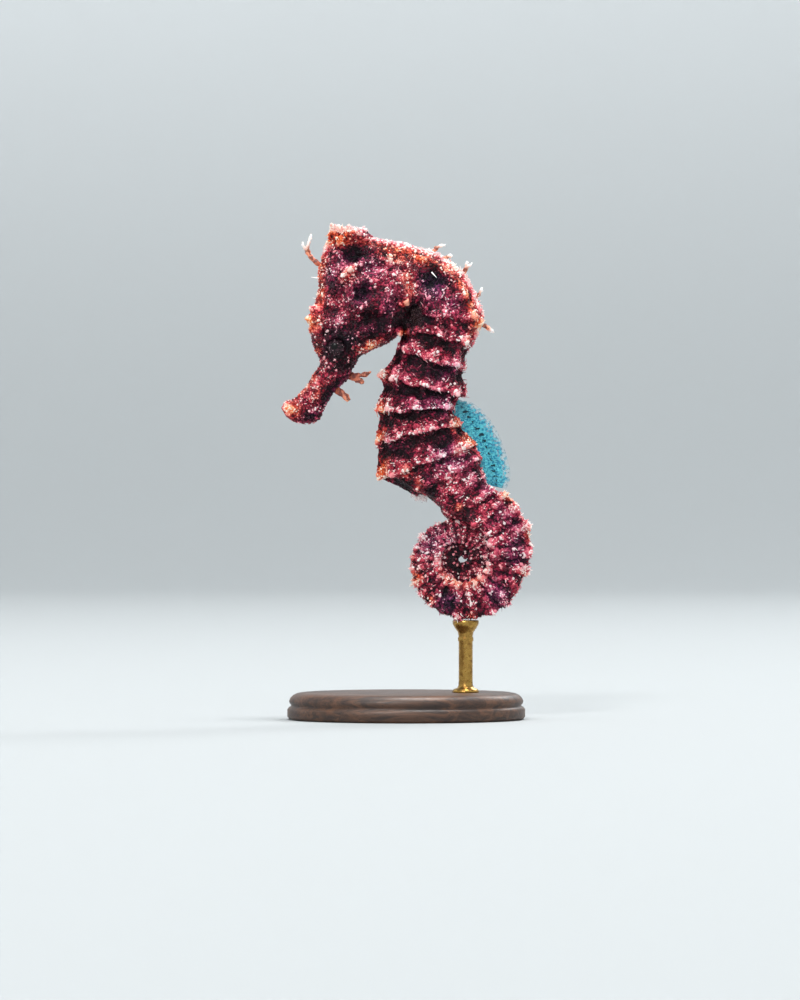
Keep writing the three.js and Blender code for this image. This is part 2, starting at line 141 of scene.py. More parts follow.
def spline(rows, u):
    """A Catmull-Rom spline through rows of numbers, one row to each whole value of u."""
    u = np.asarray(u, float)
    i = np.clip(np.floor(u).astype(int), 0, len(rows) - 2)
    t = (u - i)[..., None]
    a, b, c, d = (rows[np.clip(i + k, 0, len(rows) - 1)] for k in (-1, 0, 1, 2))
    start, end, rise = (c - a) / 2, (d - b) / 2, c - b
    return b + t * (start + t * (3 * rise - 2 * start - end + t * (start + end - 2 * rise)))


def coil_section(turn):
    outer, inner, half = spline(np.array(COIL), turn * 4 + 1)
    c, s = math.cos(turn * TAU), -math.sin(turn * TAU)
    return outer * c, outer * s, inner * c, inner * s, half, 0


def pitch_at(row):
    if row <= COIL_START:
        return PITCH_BEND
    return PITCH_COIL if row <= COIL_START + COIL_STEPS else PITCH_INNER


def body_rows():
    """Every section, with the count of rings up to it: 1 at the trunk's first ring."""
    sections = HEAD + TRUNK + TAIL_ROOT
    sections += [coil_section(k / COIL_STEPS) for k in range(int(COIL_TURNS * COIL_STEPS) + 1)]
    rows = []
    for i, (bx, bz, vx, vz, half, taper) in enumerate(sections):
        ring = i - len(HEAD) + 1
        if i > RUMP + 2:
            x, z, wx, wz = rows[-1][:4]
            step = math.hypot(bx + vx - x - wx, bz + vz - z - wz) / 2
            ring = rows[-1][6] + step / (pitch_at(i) * math.hypot(bx - vx, bz - vz))
        rows.append((bx, bz, vx, vz, half, taper, max(ring, 0)))
    return np.array(rows)


ROWS = body_rows()
END = len(ROWS) - 1

# ---- Relief of the skin ----

# Swellings and hollows of the head's side, all with soft edges: x, z, length, breadth, turn in
# degrees and height.
HEAD_FORMS = [
    (-19.9, 56.3, 1.9, 1.3, 0, -1.5),  # hollow under the coronet
    (-20.4, 52.8, 2.7, 0.7, 38, 1.5),  # ridge over the temple
    (-18.4, 49.2, 1.6, 1.6, 0, -1.6),  # hollow under it
    (-26.6, 44.0, 1.4, 1.6, 0, 1.5),  # brow
    (-16.8, 44.2, 3.4, 1.5, -5, -2.1),  # hollow of the cheek
    (-12.95, 55.3, 0.4, 1.3, 3, 0.6),  # side of the nape
    (-11.4, 50.4, 0.7, 3.0, 22, 0.9),  # collar behind the gill cover
    (-8.7, 44.9, 1.5, 1.9, 0, -2.0),  # gill slit
    (-10.1, 47.2, 0.8, 0.8, 0, 0.9),  # knob at the gill cover's edge
    (-10.1, 41.8, 0.55, 0.5, 0, 0.5),  # knob of the throat
    (-16.9, 39.4, 1.9, 0.6, 22, 0.7),  # edge of the jaw
    (-22.6, 44.0, 1.8, 1.0, 8, 0.7),  # swelling over the eye
    (-24.2, 48.4, 2.4, 0.7, 70, 0.5),  # groove's edge along the forehead
    (-22.6, 48.2, 1.0, 2.4, 10, -0.8),
    (-23.6, 56.6, 0.8, 1.8, -20, 0.5),  # forehead under the coronet
    (-16.4, 57.2, 1.6, 0.6, -10, 0.4),
    (-15.6, 53.8, 1.8, 0.8, 20, -0.7),
    (-8.5, 53.5, 2.2, 1.2, -20, 0.5),  # shoulder
    (-5.2, 51.5, 1.6, 2.0, -20, -0.8),
]
# Markings of the whole animal, and the painted shade of its hollows, seen from the side: x, z,
# length, breadth, turn in degrees, amount.
PALE_MARKS = [
    (-20.6, 52.8, 2.7, 0.7, 38, 0.85), (-27.7, 44.6, 1.2, 2.4, 0, 0.85),
    (-26.6, 49.6, 0.6, 4.6, 0, 0.6), (-10.1, 47.2, 0.9, 0.9, 0, 0.6),
    (-9.8, 50.2, 1.3, 3.4, 8, 0.6), (-0.6, 15.4, 7, 3.4, -38, 0.62), (6.8, 10.6, 5, 2.6, -50, 0.4),
    (-32, 27.8, 1.8, 2.1, -30, 1), (-29.2, 32.9, 4.6, 0.8, 50, 0.6),
    (-27.6, 32, 4.2, 1.4, 52, 0.35), (-26.9, 27.2, 1, 0.8, 30, 0.8),
    (-22.4, 44.2, 1.6, 0.9, 8, 0.6), (-16.9, 39.4, 1.9, 0.7, 22, 0.7),
    (-22.4, 53.6, 3.4, 0.8, 12, 0.4), (-18.4, 44.4, 1.2, 0.3, -25, 0.6),
    (-12.95, 55.3, 0.35, 1.2, 3, 0.9), (-15, 52, 3.4, 2.4, 20, 0.3), (-13.2, 48.6, 0.5, 3, 18, 0.4),
    (-2.6, 46.2, 3, 3.2, -10, 0.35), (0.9, 44.2, 1.6, 0.7, 0, 0.5), (7.5, 13.8, 4.5, 2, -35, 0.5),
    (13.6, 3.5, 1.6, 6.5, 12, 0.4), (-10.2, 16.2, 1.1, 1.9, 0, 0.75),
    (-7.8, 13.6, 0.7, 1.5, 15, 0.95), (-3.1, 11.8, 1.3, 1.4, 0, 0.75),
    (-0.6, 9.6, 0.9, 0.8, 0, 0.7), (-0.2, 19.9, 1.1, 1.1, 0, 0.9), (2.2, 33.6, 1.6, 0.9, 0, 0.35),
]
ORANGE_MARKS = [
    (-22, 59.6, 3.6, 1.7, 12, 1), (-25.8, 54.6, 0.9, 1.9, 0, 0.9), (-27, 43.8, 1.4, 1.7, 0, 1),
    (-26.6, 39, 0.9, 1.8, 0, 0.8), (-20.8, 52.4, 2.2, 0.9, 38, 0.55), (-26.2, 49.6, 1, 4.2, 0, 0.8),
    (-9.7, 50.4, 1.5, 3.4, 8, 0.6), (-29, 32.4, 4.8, 1.2, 50, 0.75),
    (-31.2, 27.6, 1.9, 1.7, -20, 0.95), (-26.4, 30.6, 2.6, 1.2, 50, 0.4),
    (-16.9, 39.4, 2.2, 0.9, 22, 0.95), (-12, 55.9, 4.4, 1.5, -14, 0.8),
    (-5.6, 54.6, 5.5, 1.4, -22, 0.95), (-14.6, 16.8, 1.2, 2.4, 0, 1),
    (-7.8, 13.6, 0.8, 1.5, 15, 0.6), (-10.2, 16, 1.2, 1.8, 0, 0.4), (-10.1, 47.2, 1, 1, 0, 0.6),
    (-0.6, 9.6, 0.9, 0.8, 0, 0.7), (-15, 22.6, 1, 1.7, 0, 0.9), (-14.6, 28, 0.9, 1.5, 0, 0.8),
    (-13.6, 33.6, 0.8, 1.2, 0, 0.6), (3.4, 43.6, 1.5, 1.5, 0, 1), (1.6, 22.3, 2, 1.7, 40, 0.95),
    (-1.2, 24.9, 1.2, 1.4, 0, 0.8), (-1, 19.6, 1.4, 0.9, 30, 0.6), (9.2, 11.6, 2, 1.6, -35, 0.95),
    (13, 4.6, 1.4, 1.4, 0, 0.8), (12.6, -3.2, 1.6, 1.3, 0, 0.5), (-8.6, -3.4, 1.4, 1.2, 0, 0.95),
    (-5.8, -7.4, 1, 1.2, 40, 0.8), (-9.6, 2.2, 0.8, 3.4, 0, 0.5), (2, -10.6, 1.2, 0.9, 0, 0.6),
    (-10.1, 41.8, 0.8, 0.8, 0, 0.9),
]
# Painted shade: darkness laid into the hollows under the coronet and the temple ridge, the cheek,
# the gill slit and the shoulder, and on the undersides of the belly, tail root and coil, where
# shade falls. A few entries are dark markings, such as the one round the eye.
SHADE_AND_DARK_MARKS = [
    (-19.9, 56.4, 2, 1.4, 0, 0.9), (-18.4, 49, 1.5, 1.8, 0, 0.8), (-16.6, 44, 3.8, 1.7, -5, 1),
    (-15.5, 41.6, 3.6, 1.2, 10, 0.7), (-8.8, 44.9, 2, 2, 0, 1.8), (-10.8, 43.2, 1.2, 2, 20, 1.3),
    (-22.4, 39.6, 3.8, 3, 0, 1.2), (-21.2, 36.6, 2.6, 2.2, 30, 0.9),
    (-24.4, 30.4, 0.8, 3.6, -32, 0.7), (-27.2, 26.3, 2, 0.9, 10, 0.7), (-5, 51.8, 2, 3, -20, 0.7),
    (-23.6, 50.6, 1.3, 1, 0, 0.7), (1.4, 48, 1.3, 2.6, -15, 0.4), (-12.4, 32.2, 1, 1.3, 0, 0.5),
    (-9, 11.8, 6.5, 1.5, -20, 0.7), (-10.6, 13.7, 2.4, 1.2, -15, 1.2),
    (-5.6, 12.2, 1.5, 1.9, 0, 1.1), (-2.4, 16.3, 1.9, 1, 10, 0.8), (0, 9.4, 6, 1.3, -30, 0.6),
    (1, 8, 4, 1.2, -10, 0.6), (10, -4.5, 5, 6.5, 0, 0.2), (1, -9.8, 6.5, 2.6, 0, 0.22),
    (-0.6, 6, 4.2, 1.6, 0, 0.35),
]
VIOLET_MARKS = [
    (-19.9, 56, 3.2, 2.2, 0, 0.8), (-18.4, 49.4, 2.6, 2.8, 0, 0.9), (-13.6, 48.6, 2.6, 4, 0, 0.6),
    (-16.4, 53.6, 3.6, 2.2, 10, 0.65), (-23.4, 50.6, 2, 1.8, 0, 0.6),
    (-22.2, 44, 2.4, 1.4, 8, 0.45), (-22.4, 39.6, 4, 3.4, 0, 0.85), (-16.6, 42.6, 3.6, 2.4, 0, 0.6),
    (-24.6, 29.2, 1.4, 4.5, -32, 0.8), (-26.6, 26.6, 2.2, 1.2, 10, 0.9),
    (-5, 51.4, 3.4, 4.4, -20, 0.95), (-1.6, 47, 3, 3, 0, 0.5), (-3.5, 34.5, 4.5, 1.8, 0, 0.5),
    (-4.5, 28.5, 5, 2, 0, 0.4), (-3, 19, 4.5, 2.6, -20, 0.6), (4, 13.6, 4, 2, -35, 0.6),
    (10, 1.5, 2.2, 4, 0, 0.6), (7.4, -6.6, 2.4, 2.6, 40, 0.7), (-2.4, -8, 3, 2, 0, 0.7),
    (-5.6, 3, 2.2, 3, 0, 0.4),
]

RIDGE_BREADTH = math.radians(13)
LINE_BREADTH = math.radians(5.5)
KNOBBED = (1, 3, 5, 8, 11, 13, 15, 17, 19, 21, 24, 28, 32, 36, 40)  # rings with larger knobs
GROOVE_DEPTH, LINE_HEIGHT, KNOB_HEIGHT = 1.15, 0.35, 0.8


def blobs(table, x, z, power=1.0):
    """Each of a table's soft-edged ellipses, seen from the side."""
    for mx, mz, long, wide, turn, amount in table:
        c, s = math.cos(math.radians(turn)), math.sin(math.radians(turn))
        along, across = (x - mx) * c + (z - mz) * s, (z - mz) * c - (x - mx) * s
        yield amount * np.exp(-(((along / long) ** 2 + (across / wide) ** 2) ** power))


def strongest(table, x, z):
    return largest(*blobs(table, x, z))


def fractal(points, size, seed, octaves=2):
    """Smooth noise from about -1 to 1 at each point, with features of this size in millimetres."""
    shift = Vector((seed * 7.3, seed * 3.1, seed * 5.7))
    flat = points.reshape(-1, 3) / size
    found = [noise.fractal(Vector(p) + shift, 1.0, 2.0, octaves) for p in flat]
    return np.array(found).reshape(points.shape[:-1])


def near_angle(a, place, breadth):
    return bell(np.abs(a) - math.radians(place), breadth)


class Body:
    """The bare sweep at places u along the body and angles a round it, 0 on the back."""

    def __init__(self, u, a):
        rows = spline(ROWS, u)
        bx, bz, vx, vz, half, taper, count = (rows[..., k] for k in range(7))
        self.u, self.a, self.half = u, a, half
        self.trunk = smooth(0.5, 2, count) * (1 - smooth(RUMP - 2, RUMP + 2, u))
        self.tail = smooth(RUMP - 2, RUMP + 4, u)
        self.ringed = self.trunk + self.tail
        self.headed = 1 - smooth(NECK, NECK + 2, u)
        self.coiled = smooth(COIL_START - 3, COIL_START + 1, u)
        self.throat = smooth(8, 11, u) * (1 - smooth(17, 20, u)) * smooth(2.2, 2.9, np.abs(a))
        c, s = np.cos(a), np.sin(a)
        self.side = np.abs(s)
        size = self.outline()
        along = size * c
        self.below = np.hypot(bx - vx, bz - vz) / 2 * (1 - along)  # how far under the back's line
        self.x = (bx + vx + (bx - vx) * along) / 2
        self.z = (bz + vz + (bz - vz) * along) / 2
        gill = np.hypot(self.x - GILL_X, self.z - GILL_Z) / GILL_R
        swell = GILL_HEIGHT * (1 - smooth(0.72, 1.05, gill))
        self.y = s * (half * size * (1 - taper * c) + self.headed * swell)
        self.points = np.stack([self.x, self.y, self.z], -1)
        self.uneven = fractal(self.points, 2.6, 9)
        self.lay_rings(count)

    def outline(self):
        """How far a section stands out: round on the head, boxy further on, with long ridges."""
        ridges = [near_angle(self.a, k, RIDGE_BREADTH) for k in (45, 135)]
        ridges += [self.trunk * near_angle(self.a, k, RIDGE_BREADTH) for k in (0, 90, 180)]
        power = 2.1 + 0.2 * self.trunk + 1.7 * self.tail
        c, s = np.cos(self.a), np.sin(self.a)
        size = (np.abs(c) ** power + np.abs(s) ** power) ** (-1 / power)
        return size * (1 - 0.1 * self.ringed * (1 - largest(*ridges)))

    def lay_rings(self, count):
        """The rings: a crest at each whole number, the hollows between, and the lines along."""
        ring = count + np.interp(count, SLANT_AT, SLANT) * (count > 0) * (1 - np.cos(self.a)) / 2
        ring = ring + 0.12 * self.uneven * self.ringed
        self.ring = ring
        self.crest = self.ringed * bell(ring - np.round(ring), 0.2)
        self.edge = self.ringed * bell(ring - np.round(ring), 0.07)
        f = ring - np.floor(ring)
        shelf = np.maximum(1 - smooth(0, 0.2, f), smooth(0.26, 1.0, f) ** 1.3)
        hoop = 1 - bell(f - 0.5, 0.15)
        self.profile = shelf + (hoop - shelf) * self.tail
        lines = [near_angle(self.a, k, LINE_BREADTH) for k in (45, 135)]
        for k, share in ((90, 0.5), (180, 1)):
            lines.append(self.trunk * near_angle(self.a, k, LINE_BREADTH) * share)
        self.line = largest(*lines) * self.ringed
        self.hooped = self.ringed * (0.12 + 0.88 * smooth(4.2, 6.8, ring))
        hollow = (1 - self.profile) * self.hooped * (1 - 0.6 * self.line)
        self.groove = hollow * (1 - 0.4 * self.uneven)
        self.fore = 1 - smooth(5.2, 6.4, ring)
        # rim: a band along the back's line on the head and upper trunk, which markings paint pale
        # as a highlight of light from above.
        self.rim = bell(self.below, 0.95) * smooth(8.5, 10, self.u) * self.fore


def knob_sizes(ring):
    """How large the knobs of the nearest ring are, from about 0.25 to 1."""
    nearest = np.round(ring).astype(int)
    return np.where(np.isin(nearest, KNOBBED), 1.0, 0.45 + 0.2 * np.sin(nearest * 2.4))


def gill_relief(b):
    """The gill cover: fine ribs that fan out from its lower front corner, and a raised edge."""
    dx, dz = b.x - GILL_X, b.z - GILL_Z
    reach = np.hypot(dx, dz) / GILL_R
    fan = np.arctan2(dz + 3.2, dx + 4.2)
    ribs = 0.13 * np.cos(26 * fan + 3 * reach) * (1 - smooth(0.75, 0.95, reach))
    rim = 0.35 * bell(reach - 0.97, 0.06) * smooth(-0.1, 0.5, dx / GILL_R)
    return (ribs + rim) * b.headed * smooth(0.3, 0.7, b.side)


def eye_relief(b):
    """A low collar round the eye with fine folds, and the socket."""
    ex, ez = b.x - EYE_X, b.z - EYE_Z
    away, around = np.hypot(ex, ez), np.arctan2(ez, ex)
    collar = 0.5 * bell(away - 2.1, 0.45)
    folds = 0.12 * np.cos(13 * around) * bell(away - 2.8, 0.8)
    socket = 0.5 * (1 - smooth(1.3, 1.8, away))
    return (collar + folds - socket) * b.headed * smooth(0.4, 0.7, b.side)


def relief(b):
    """Height of the skin over the bare sweep, in millimetres."""
    size = np.minimum(b.half, 5) / 5
    inner = near_angle(b.a, 180, 0.8) * smooth(RUMP + 0.5, RUMP + 2.5, b.u)
    middles = near_angle(b.a, 0, 0.6) + 0.7 * near_angle(b.a, 180, 0.6)
    groove = b.groove * (1 - inner) * (1 - 0.5 * b.trunk * middles)
    height = -(GROOVE_DEPTH - 0.45 * b.tail - 0.3 * b.coiled) * size * groove
    height += LINE_HEIGHT * size * b.line * (0.5 + 0.5 * b.profile)
    knobs = KNOB_HEIGHT * size**0.7 * b.line * b.crest * knob_sizes(b.ring)
    height += knobs * (0.4 + 0.6 * b.hooped)
    on_side = smooth(0.2, 0.6, b.side) * smooth(3, 6, b.u) * (1 - smooth(14, 16, b.u))
    height += sum(blobs(HEAD_FORMS, b.x, b.z, 1.4)) * on_side
    height += gill_relief(b) + eye_relief(b)
    wrinkles = np.sin(b.u * 21 + 2 * np.sin(b.a * 2)) * (1 - smooth(4.5, 6, b.u))
    height += 0.12 * (wrinkles * smooth(0.6, 1.4, b.u))
    height *= 1 - 0.85 * b.throat
    swell = 1.6 - 0.9 * smooth(COIL_START + 3, COIL_START + 8, b.u)
    height += swell * inner * (1 - smooth(END - 2, END, b.u))  # the turns close up on each other
    height += 0.5 * near_angle(b.a, 0, 0.5) * smooth(COIL_START + 5, COIL_START + 6.5, b.u)
    coat_room = 0.24 - 0.12 * b.trunk + 0.2 * b.coiled * near_angle(b.a, 0, 1.2)
    return (height - coat_room) * (1 - 0.9 * smooth(END - 3, END, b.u))


# ---- Markings, painted shade and painted highlights that skin and coat share ----


def markings(b, lumps):
    """How light, orange and violet each place is, from 0 to 1, with shade and highlights painted
    into the light share. lumps break up the edges.
    """
    groove = b.groove * (1 - 0.3 * near_angle(b.a, 180, 0.6))
    pale = largest(
        strongest(PALE_MARKS, b.x, b.z),
        # Painted highlight: the rim and the back's line are made paler, where light from above
        # falls.
        1.3 * b.rim,
        0.5 * near_angle(b.a, 0, 0.5) * (1 - b.headed),
        0.75 * b.edge * b.hooped + 0.3 * b.line * b.profile + 0.4 * b.crest * b.line,
        # Painted highlight: each ring's upper slope is made paler towards its crest, as if lit from
        # above.
        0.42 * smooth(0.3, 0.85, b.profile) * b.hooped,
    )
    pale = pale * (1 - 0.45 * b.trunk * near_angle(b.a, 150, 0.5))
    knobs = near_angle(b.a, 45, 0.35) * b.crest * knob_sizes(b.ring) ** 2
    inner_rim = near_angle(b.a, 140, 0.2) * b.coiled
    away = np.hypot(b.x, b.z)  # from the coil's axis
    pale = largest(pale, 0.85 * knobs * b.tail, 0.75 * inner_rim * (away > 3.4))
    orange = largest(
        strongest(ORANGE_MARKS, b.x, b.z),
        0.85 * (bell(b.below - 1.7, 0.9) * smooth(10, 12, b.u) * b.fore),
        0.3 * near_angle(b.a, 0, 0.6) * b.tail,
        0.55 * inner_rim * smooth(0, 5, -b.z) * (away > 4),
    )
    # Painted shade in the coil's middle, where its inner turns lie deep.
    painted_middle_shade = 0.45 * (1 - smooth(3.6, 4.6, away)) + 0.4 * (1 - smooth(2.0, 2.8, away))
    # dark: painted shade from the dark marks, in the ring grooves, along the coil's lower outer
    # edge and in its middle.
    dark = largest(
        strongest(SHADE_AND_DARK_MARKS, b.x, b.z),
        (0.7 - 0.3 * b.tail - 0.2 * b.coiled) * groove,
        0.8 * (bell(b.below, 0.9) * b.tail * smooth(6, 9, -b.z) * (1 - knobs)),
        painted_middle_shade * b.tail,
    )
    light = 0.4 + 0.5 * pale * (1 + 0.5 * lumps) - 0.43 * dark * (1 - 0.8 * b.rim)
    light = light + 0.28 * lumps - 0.08 * b.coiled
    violet = (1 - 0.3 * b.headed) * strongest(VIOLET_MARKS, b.x, b.z)
    violet = violet + 0.45 * fractal(b.points, 4.5, 4) + 0.25 * groove * b.tail
    violet = violet * (1 - 0.8 * orange) * (1 - b.rim)
    fields = light, orange * (1 + 0.6 * lumps), violet
    return [np.clip(values, 0, 1) for values in fields]


# ---- Meshes ----

SHARES = "light", "orange", "violet"
MERGE_WITHIN = 1e-6


def to_frame(points):
    """Millimetres from the coil's axis to metres in the frame."""
    return (points + np.array(AXIS)) * MM


def write_points(mesh, points):
    mesh.vertices.foreach_set("co", np.ascontiguousarray(points, np.float32).ravel())
    mesh.update()


def mesh_points(mesh):
    flat = np.empty(len(mesh.vertices) * 3, np.float32)
    mesh.vertices.foreach_get("co", flat)
    return flat.reshape(-1, 3)


def add_floats(mesh, name, values):
    layer = mesh.attributes.new(name, "FLOAT", "POINT")
    layer.data.foreach_set("value", np.ascontiguousarray(values, np.float32).ravel())


def add_shares(mesh, shares):
    for name, values in zip(SHARES, shares):
        add_floats(mesh, name, values)


def new_mesh(name, bm, outwards=False):
    """A mesh from a bmesh, with its faces turned outwards if they need it."""
    if outwards:
        bmesh.ops.recalc_face_normals(bm, faces=bm.faces)
    mesh = bpy.data.meshes.new(name)
    bm.to_mesh(mesh)
    bm.free()
    return mesh


def show(name, data):
    obj = bpy.data.objects.new(name, data)
    bpy.context.scene.collection.objects.link(obj)
    return obj


def piece(name, mesh, material, slot, *replaced):
    """Shows a mesh as a piece of the model, which may stand for nodes."""
    mesh.materials.append(material)
    mesh.shade_smooth()
    obj = show(name, mesh)
    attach(obj, "root")
    if replaced:
        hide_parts(*replaced)


def grid_mesh(name, across, along):
    """A flat grid with its own map, and each vertex's column and row."""
    bm = bmesh.new()
    bm.loops.layers.uv.new("grid")
    bmesh.ops.create_grid(bm, x_segments=across, y_segments=along, size=0.5, calc_uvs=True)
    mesh = new_mesh(name, bm)
    x, y = mesh_points(mesh).T[:2] + 0.5
    return mesh, np.rint(x * across).astype(int), np.rint(y * along).astype(int)


def merge(mesh):
    """Closes a folded grid's seams and poles, and turns its faces outwards."""
    bm = bmesh.new()
    bm.from_mesh(mesh)
    bmesh.ops.remove_doubles(bm, verts=bm.verts, dist=MERGE_WITHIN)
    bmesh.ops.dissolve_degenerate(bm, edges=bm.edges, dist=MERGE_WITHIN)
    bmesh.ops.recalc_face_normals(bm, faces=bm.faces)
    bm.to_mesh(mesh)
    bm.free()


def unit(v):
    return v / np.maximum(np.linalg.norm(v, axis=-1, keepdims=True), 1e-12)


def close_grid(points):
    """Brings a grid's last column to its first, and its last row to a point."""
    points[:, -1] = points[:, 0]
    points[-1] = points[-1].mean(0)


def grid_normals(points, outwards):
    """Normals of a grid of points that closes on itself from its last column to its first."""
    down = np.gradient(points, axis=0)
    across = np.gradient(points, axis=1)
    across[:, 0] = across[:, -1] = (points[:, 1] - points[:, -2]) / 2
    normal = unit(np.cross(across, down))
    return normal * np.sign((normal * outwards).sum(-1, keepdims=True) + 1e-9)


# ---- Skin ----

SKIN_AROUND, SKIN_ALONG = 144, 680
PATH_STEPS = 6000
# The rings that fold into the mouth: each one's share of the first ring, and its depth.
MOUTH_ROWS = (0.0, 0.9), (0.3, 0.8), (0.48, 0.45), (0.6, 0.1), (0.78, -0.08), (0.93, -0.06)
FLESH = ["snout", "head", "neck", "trunk_upper", "trunk_lower", "tail_root"]
FLESH += [f"tail_{k}" for k in range(1, 7)] + ["tail_tip"]


def spread_rows(count):
    """Places along the body, at even steps of the longer of its back and its belly."""
    fine = np.linspace(0, END, PATH_STEPS)
    rows = spline(ROWS, fine)
    back, belly = (np.hypot(*np.diff(rows[:, k : k + 2], axis=0).T) for k in (0, 2))
    path = np.concatenate([[0], np.cumsum(np.maximum(back, belly))])
    return np.interp(np.linspace(0, path[-1], count), path, fine)


def sweep_skin():
    """The body at the skin's grid, with the skin's points, normals and markings."""
    u = spread_rows(SKIN_ALONG + 1 - len(MOUTH_ROWS))
    a = np.linspace(-math.pi, math.pi, SKIN_AROUND + 1)
    body = Body(*np.meshgrid(u, a, indexing="ij"))
    from_middle = body.points - body.points.mean(1, keepdims=True)
    lumps, grain = fractal(body.points, 1.5, 1), fractal(body.points, 0.6, 2)
    rough = (1 - smooth(END - 4, END, body.u)) * (1 - 0.6 * body.throat)
    height = relief(body) + (0.2 * lumps + 0.1 * grain) * rough * np.minimum(1, body.half / 3)
    points = body.points + grid_normals(body.points, from_middle) * height[..., None]
    hang = 0.4 * body.edge * body.trunk * (1 - body.throat)
    points += unit(np.gradient(body.points, axis=0)) * hang[..., None]
    close_grid(points)
    return body, points, grid_normals(points, from_middle), markings(body, lumps)


def mouth_rings(ring, axis):
    """Rings that fold in from the first ring of the skin to a closed mouth."""
    centre = ring.mean(0)
    rings = [centre + (ring - centre) * share - axis * depth for share, depth in MOUTH_ROWS]
    return np.array(rings)


def make_skin(material):
    body, points, normals, shares = sweep_skin()
    axis = unit(points[0].mean(0) - points[12].mean(0))
    rows = np.concatenate([mouth_rings(points[0], axis), points])
    mesh, column, row = grid_mesh("skin", SKIN_AROUND, SKIN_ALONG)
    write_points(mesh, to_frame(rows[row, column]))
    folded = len(MOUTH_ROWS)
    tones = [np.concatenate([np.repeat(values[:1], folded, 0), values]) for values in shares]
    # Painted shade: the inside of the mouth is given the darkest tone.
    tones[0][: folded - 2] = 0  # the inside of the mouth is dark
    add_shares(mesh, [values[row, column] for values in tones])
    merge(mesh)
    piece("skin", mesh, material, "skin", *FLESH)
    return body, Patch(points, normals, shares)


# ---- Coat ----

PAPILLA_SIDES, PAPILLA_LEVELS = 5, 3
UV_PATCH = 0.003  # how much of the map one copy takes up
LEAST_CURL = 0.01


class Patch:
    """A grid of skin that coat can stand on, with its shares of light, orange and violet."""

    def __init__(self, points, normals, shares):
        self.points, self.normals, self.shares = points, normals, shares
        side = np.linalg.norm(np.diff(points, axis=0)[:, :-1], axis=-1)
        width = np.linalg.norm(np.diff(points, axis=1)[:-1], axis=-1)
        self.area = side * width
        self.rows, self.columns = self.area.shape

    def scatter(self, count, weight, rng):
        """Places by area and weight, as row and column with their fractions."""
        chance = (self.area * weight[:-1, :-1]).ravel()
        picked = rng.choice(chance.size, size=count, p=chance / chance.sum())
        row, column = np.divmod(picked, self.columns)
        return row, column, rng.random(count), rng.random(count)

    def at(self, values, place):
        row, column, fr, fc = place
        shape = (-1,) + (1,) * (values.ndim - 2)
        fr, fc = fr.reshape(shape), fc.reshape(shape)
        top = values[row, column] * (1 - fc) + values[row, column + 1] * fc
        low = values[row + 1, column] * (1 - fc) + values[row + 1, column + 1] * fc
        return top * (1 - fr) + low * fr

    def place(self, row, column):
        """Places at fractional rows and columns."""
        row = np.clip(np.asarray(row, float), 0, self.rows - 1e-3)
        column = np.mod(np.asarray(column, float), self.columns)
        return row.astype(int), column.astype(int), row % 1, column % 1


def template_arrays(bm):
    bmesh.ops.triangulate(bm, faces=bm.faces)
    bm.verts.index_update()
    verts = np.array([v.co[:] for v in bm.verts])
    faces = np.array([[v.index for v in f.verts] for f in bm.faces])
    bm.free()
    return verts, faces


def bead_template(detail=1, warts=0.0):
    bm = bmesh.new()
    bmesh.ops.create_icosphere(bm, subdivisions=detail, radius=1)
    for vert in bm.verts:
        vert.co *= 1 + warts * noise.noise(vert.co * 1.9)
    return template_arrays(bm)


def papilla_template():
    """A closed, tapered finger along +z, one unit high."""
    bm = bmesh.new()
    sizes = {"segments": PAPILLA_SIDES, "radius1": 1, "radius2": 0.5, "depth": 1}
    bmesh.ops.create_cone(bm, cap_ends=True, **sizes)
    bmesh.ops.translate(bm, verts=bm.verts, vec=(0, 0, 0.5))
    upright = [e for e in bm.edges if abs(e.verts[0].co.z - e.verts[1].co.z) > 0.5]
    cuts = PAPILLA_LEVELS - 1
    bmesh.ops.subdivide_edges(bm, edges=upright, cuts=cuts, use_grid_fill=True)
    return template_arrays(bm)


def joined(name, corners, faces, uv, floats):
    """One mesh of many copies. corners is copies by corners by 3, and faces are one copy's."""
    copies, per_copy = corners.shape[:2]
    all_faces = (faces[None] + (np.arange(copies) * per_copy)[:, None, None]).reshape(-1, 3)
    mesh = bpy.data.meshes.new(name)
    mesh.vertices.add(copies * per_copy)
    mesh.loops.add(all_faces.size)
    mesh.polygons.add(len(all_faces))
    mesh.loops.foreach_set("vertex_index", all_faces.astype(np.int32).ravel())
    mesh.polygons.foreach_set("loop_start", np.arange(0, all_faces.size, 3, dtype=np.int32))
    write_points(mesh, to_frame(corners.reshape(-1, 3)))
    mesh.update(calc_edges=True)
    layer = mesh.uv_layers.new(name="OFBake")
    at_loops = uv.reshape(-1, 2)[all_faces.ravel()]
    layer.uv.foreach_set("vector", at_loops.astype(np.float32).ravel())
    for key, values in floats.items():
        add_floats(mesh, key, values.reshape(-1))
    return mesh


